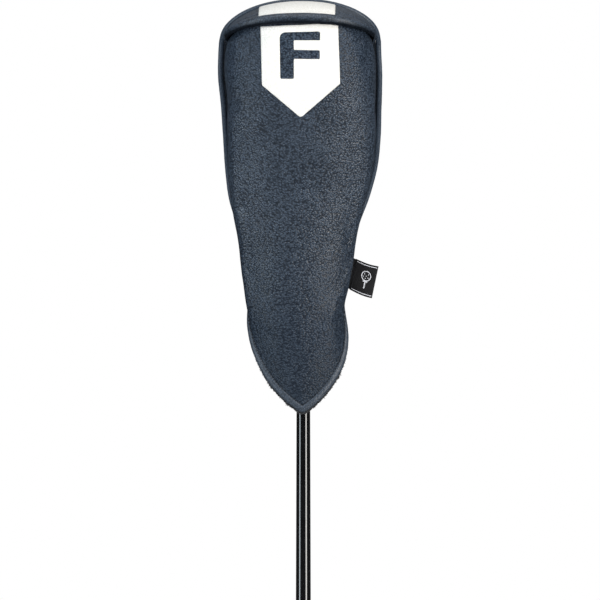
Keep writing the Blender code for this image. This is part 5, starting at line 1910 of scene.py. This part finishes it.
def face_plate(face_front):
    solid = boolean(blank("plate_blank", 0.0), face_front)
    boolean(solid, face_prism("face_region", grow=0.0), "INTERSECT")
    boolean(solid, face_block("plate_back", 2.3), "INTERSECT")
    boolean(solid, score_lines())
    return applied(solid, "face_plate_scored", FACE)


def alignment_line():
    """Short plain line on the crown, just behind the face."""
    skin = blank("mark_blank", 0.0, 30, 4, 140).data
    tree = BVHTree.FromPolygons(
        [vertex.co / MM for vertex in skin.vertices], [tuple(face.vertices) for face in skin.polygons]
    )
    rows, columns = 15, 3
    points = []
    for lift in (0.09, -0.2):
        for back in np.linspace(8.8, 17.0, rows):
            for toe in np.linspace(36.6, 35.4, columns):
                hit, normal, _, _ = tree.ray_cast(Vector((back, toe, 80.0)), Vector((0, 0, -1)))
                point = hit + normal * lift if normal.z > 0 else hit - normal * lift
                points.append((point.y, point.x, point.z))
    source = head_object("mark_src", points, sheet_faces((rows, columns), (rows, columns)))
    return applied(source, "alignment_line", MARK, 40)


def head_turned(name, profile, material, bulge=None):
    obj = lathe(name + "_src", profile, material, 96, 0, bulge, SCRAP)
    obj.matrix_world = WEIGHT_PLACE
    return applied(obj, name, material)


def forward_bar():
    work = bmesh.new()
    bmesh.ops.create_cube(work, size=1.0)
    for vertex in work.verts:
        x, y, z = vertex.co
        vertex.co = Vector((x * 7.0, y * 36.0, z * 4.0)) * MM
    bmesh.ops.bevel(
        work, geom=work.edges[:], offset=0.9 * MM, segments=4, profile=0.5, affect="EDGES"
    )
    mesh = bpy.data.meshes.new("bar")
    work.to_mesh(mesh)
    work.free()
    source = link(bpy.data.objects.new("bar_src", mesh), SCRAP)
    source.matrix_world = HEAD @ Matrix.Translation(Vector((0.0, FACE_TOE + 2, 6.0)) * MM)
    return applied(source, "tungsten_bar_cast", TUNGSTEN)


FACE_FRONT = face_block("face_front", 0.0)
head_body = head_shell(FACE_FRONT)
crown = crown_panel(FACE_FRONT)
plate = face_plate(FACE_FRONT)
mark = alignment_line()
seal = head_turned("weight_seal_ring", SEAL_PROFILE, SEAL)
weight = head_turned("sole_weight_turned", WEIGHT_PROFILE, TUNGSTEN, weight_socket)
bar = forward_bar()

for scrap in list(SCRAP.objects):
    bpy.data.objects.remove(scrap, do_unlink=True)
bpy.data.collections.remove(SCRAP)

# ================================================================= pieces onto the frame
COVER = "head_cover"
# object, frame part it rides on, material slot, CAD nodes it replaces
PIECES = [
    (front, COVER, "navy_leather", ["front_panel"]),
    (back, COVER, "navy_leather", ["back_panel"]),
    (gusset, COVER, "navy_leather", ["top_gusset"]),
    (roll, COVER, "navy_leather", ["ridge_roll"]),
    (pipe, COVER, "navy_piping", ["perimeter_piping"]),
    (front_hem, COVER, "navy_leather", ["hem_front"]),
    (back_hem, COVER, "navy_leather", ["hem_back"]),
    (front_hem_stitches, COVER, "navy_piping", []),
    (back_hem_stitches, COVER, "navy_piping", []),
    (front_fringe, COVER, "fleece", []),
    (back_fringe, COVER, "fleece", []),
    (front_lining, COVER, "fleece", ["lining_front"]),
    (back_lining, COVER, "fleece", ["lining_back"]),
    (front_foam, COVER, "foam", ["foam_front"]),
    (back_foam, COVER, "foam", ["foam_back"]),
    (elastic, COVER, "elastic", ["neck_elastic"]),
    (patch, COVER, "white_leather", ["white_patch"]),
    (patch_stitch, COVER, "white_leather", []),
    (stripe, COVER, "white_leather", ["top_stripe"]),
    (label, "side_label", "woven_label", ["side_label"]),
    (label_print, "side_label", "woven_label", []),
    (label_stitch, "side_label", "woven_label", []),
    (shaft, "shaft_assembly", "shaft", ["shaft"]),
    (grip, "shaft_assembly", "grip_rubber", ["grip_sleeve"]),
    (cap, "shaft_assembly", "grip_rubber", ["grip_cap"]),
    (ferrule, "shaft_assembly", "ferrule", ["ferrule"]),
    (adapter, "shaft_assembly", "black_aluminium", ["hosel_adapter"]),
    (loft_ring, "loft_ring", "black_aluminium", ["loft_ring"]),
    (washer, "hosel_washer", "steel", ["hosel_washer"]),
    (screw, "hosel_screw", "screw", ["hosel_screw"]),
    (head_body, "club_head", "steel", ["head_body"]),
    (crown, "club_head", "crown", ["crown_panel"]),
    (plate, "club_head", "face", ["face_plate"]),
    (mark, "club_head", "crown", []),
    (bar, "club_head", "tungsten", ["forward_weight_bar"]),
    (seal, "weight_seal", "seal", ["weight_seal"]),
    (weight, "sole_weight", "tungsten", ["sole_weight"]),
]
for piece, rides_on, slot_name, nodes in PIECES:
    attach(piece, rides_on)
    if nodes:
        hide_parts(*nodes)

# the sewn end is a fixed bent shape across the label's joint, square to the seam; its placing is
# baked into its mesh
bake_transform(label_root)

# the CAD's own tape, which only shows if the grip is taken off
tape_materials = frame["nodes"]["grip_tape"].data.materials
tape_materials.clear()
tape_materials.append(TAPE)


# ================================================================= studio, in metres
def band(tree, socket, start, end, amount):
    """Smooth step from 0 to amount."""
    inputs = {"From Min": start, "From Max": end, "To Min": 0.0, "To Max": amount, "Value": socket}
    node = add_node(tree, "ShaderNodeMapRange", inputs, interpolation_type="SMOOTHSTEP")
    return node.outputs["Result"]


def plus(tree, first, second):
    return add_node(tree, "ShaderNodeMath", {0: first, 1: second}, operation="ADD").outputs[0]


def make_world():
    """White to the camera; a soft gradient for lighting and another for reflections."""
    world = bpy.data.worlds.new("studio")
    SCENE.world = world
    world.use_nodes = True
    tree = world.node_tree
    tree.nodes.clear()
    ray = add_node(tree, "ShaderNodeLightPath")
    white = add_node(tree, "ShaderNodeBackground", {"Color": (1, 1, 1, 1), "Strength": 1.0})
    coords = add_node(tree, "ShaderNodeTexCoord").outputs["Generated"]
    split = add_node(tree, "ShaderNodeSeparateXYZ", {0: coords})
    y, z = split.outputs[1], split.outputs[2]
    # dim in front, brighter behind and overhead
    behind = band(tree, y, start=0.0, end=0.8, amount=0.22)
    overhead = band(tree, z, start=0.25, end=0.95, amount=0.65)
    glow = plus(tree, plus(tree, behind, overhead), 0.20)
    # what shines in the surfaces is darker round the horizon
    above = band(tree, z, start=0.20, end=0.75, amount=0.55)
    below = band(tree, z, start=-0.25, end=-0.75, amount=0.12)
    shine = plus(tree, plus(tree, above, below), 0.035)
    strengths = {"Factor": ray.outputs["Is Glossy Ray"], "A": glow, "B": shine}
    strength = add_node(tree, "ShaderNodeMix", strengths).outputs["Result"]
    sky_inputs = {"Color": (0.96, 0.98, 1.0, 1), "Strength": strength}
    sky = add_node(tree, "ShaderNodeBackground", sky_inputs)
    shaders = {0: ray.outputs["Is Camera Ray"], 1: sky.outputs[0], 2: white.outputs[0]}
    mixed = add_node(tree, "ShaderNodeMixShader", shaders).outputs[0]
    add_node(tree, "ShaderNodeOutputWorld", {"Surface": mixed})


def area_light(name, place, size, power, colour=(1, 1, 1)):
    """Rectangular lamp aimed at the cover's middle."""
    data = bpy.data.lights.new(name, "AREA")
    data.shape = "RECTANGLE"
    data.size, data.size_y = size
    data.energy = power
    data.color = colour
    obj = link(bpy.data.objects.new(name, data))
    obj.location = place
    aim = Vector((0.0, -0.04, 1.0)) - Vector(place)
    obj.rotation_euler = aim.to_track_quat("-Z", "Y").to_euler()
    return obj


def make_floor():
    half, z = 4, -0.002
    corners = [(-half, -half, z), (half, -half, z), (half, half, z), (-half, half, z)]
    mesh = bpy.data.meshes.new("floor")
    mesh.from_pydata(corners, [], [(0, 1, 2, 3)])
    mesh.materials.append(FLOOR)
    floor = link(bpy.data.objects.new("floor", mesh))
    floor.visible_glossy = False


def make_camera():
    """Long lens looking along +Y."""
    data = bpy.data.cameras.new("camera")
    data.lens, data.sensor_width = 600.0, 36.0
    data.clip_end = 50.0
    camera = link(bpy.data.objects.new("camera", data))
    camera.location = (-0.0024, -7.2, 0.9355)
    camera.rotation_euler = (PI / 2, 0, 0)
    SCENE.camera = camera


make_world()
area_light(
    "left_softbox", (-1.50, -0.90, 1.0), size=(0.50, 1.9), power=19.0, colour=(0.82, 0.93, 1.0)
)
area_light(
    "right_softbox", (1.30, -1.20, 1.0), size=(0.60, 1.9), power=30.0, colour=(1.0, 0.985, 0.95)
)
area_light("top_softbox", (0.0, -0.75, 2.3), size=(1.5, 0.9), power=9.0)
front_fill = area_light("front_fill", (0.0, -3.0, 1.15), size=(2.2, 1.6), power=21.0)
front_fill.visible_glossy = False
for lamp in [obj for obj in SCENE.objects if obj.type == "LIGHT"]:
    lamp.visible_camera = False
make_floor()
make_camera()
SCENE.view_settings.view_transform = "Standard"
SCENE.view_settings.look = "None"
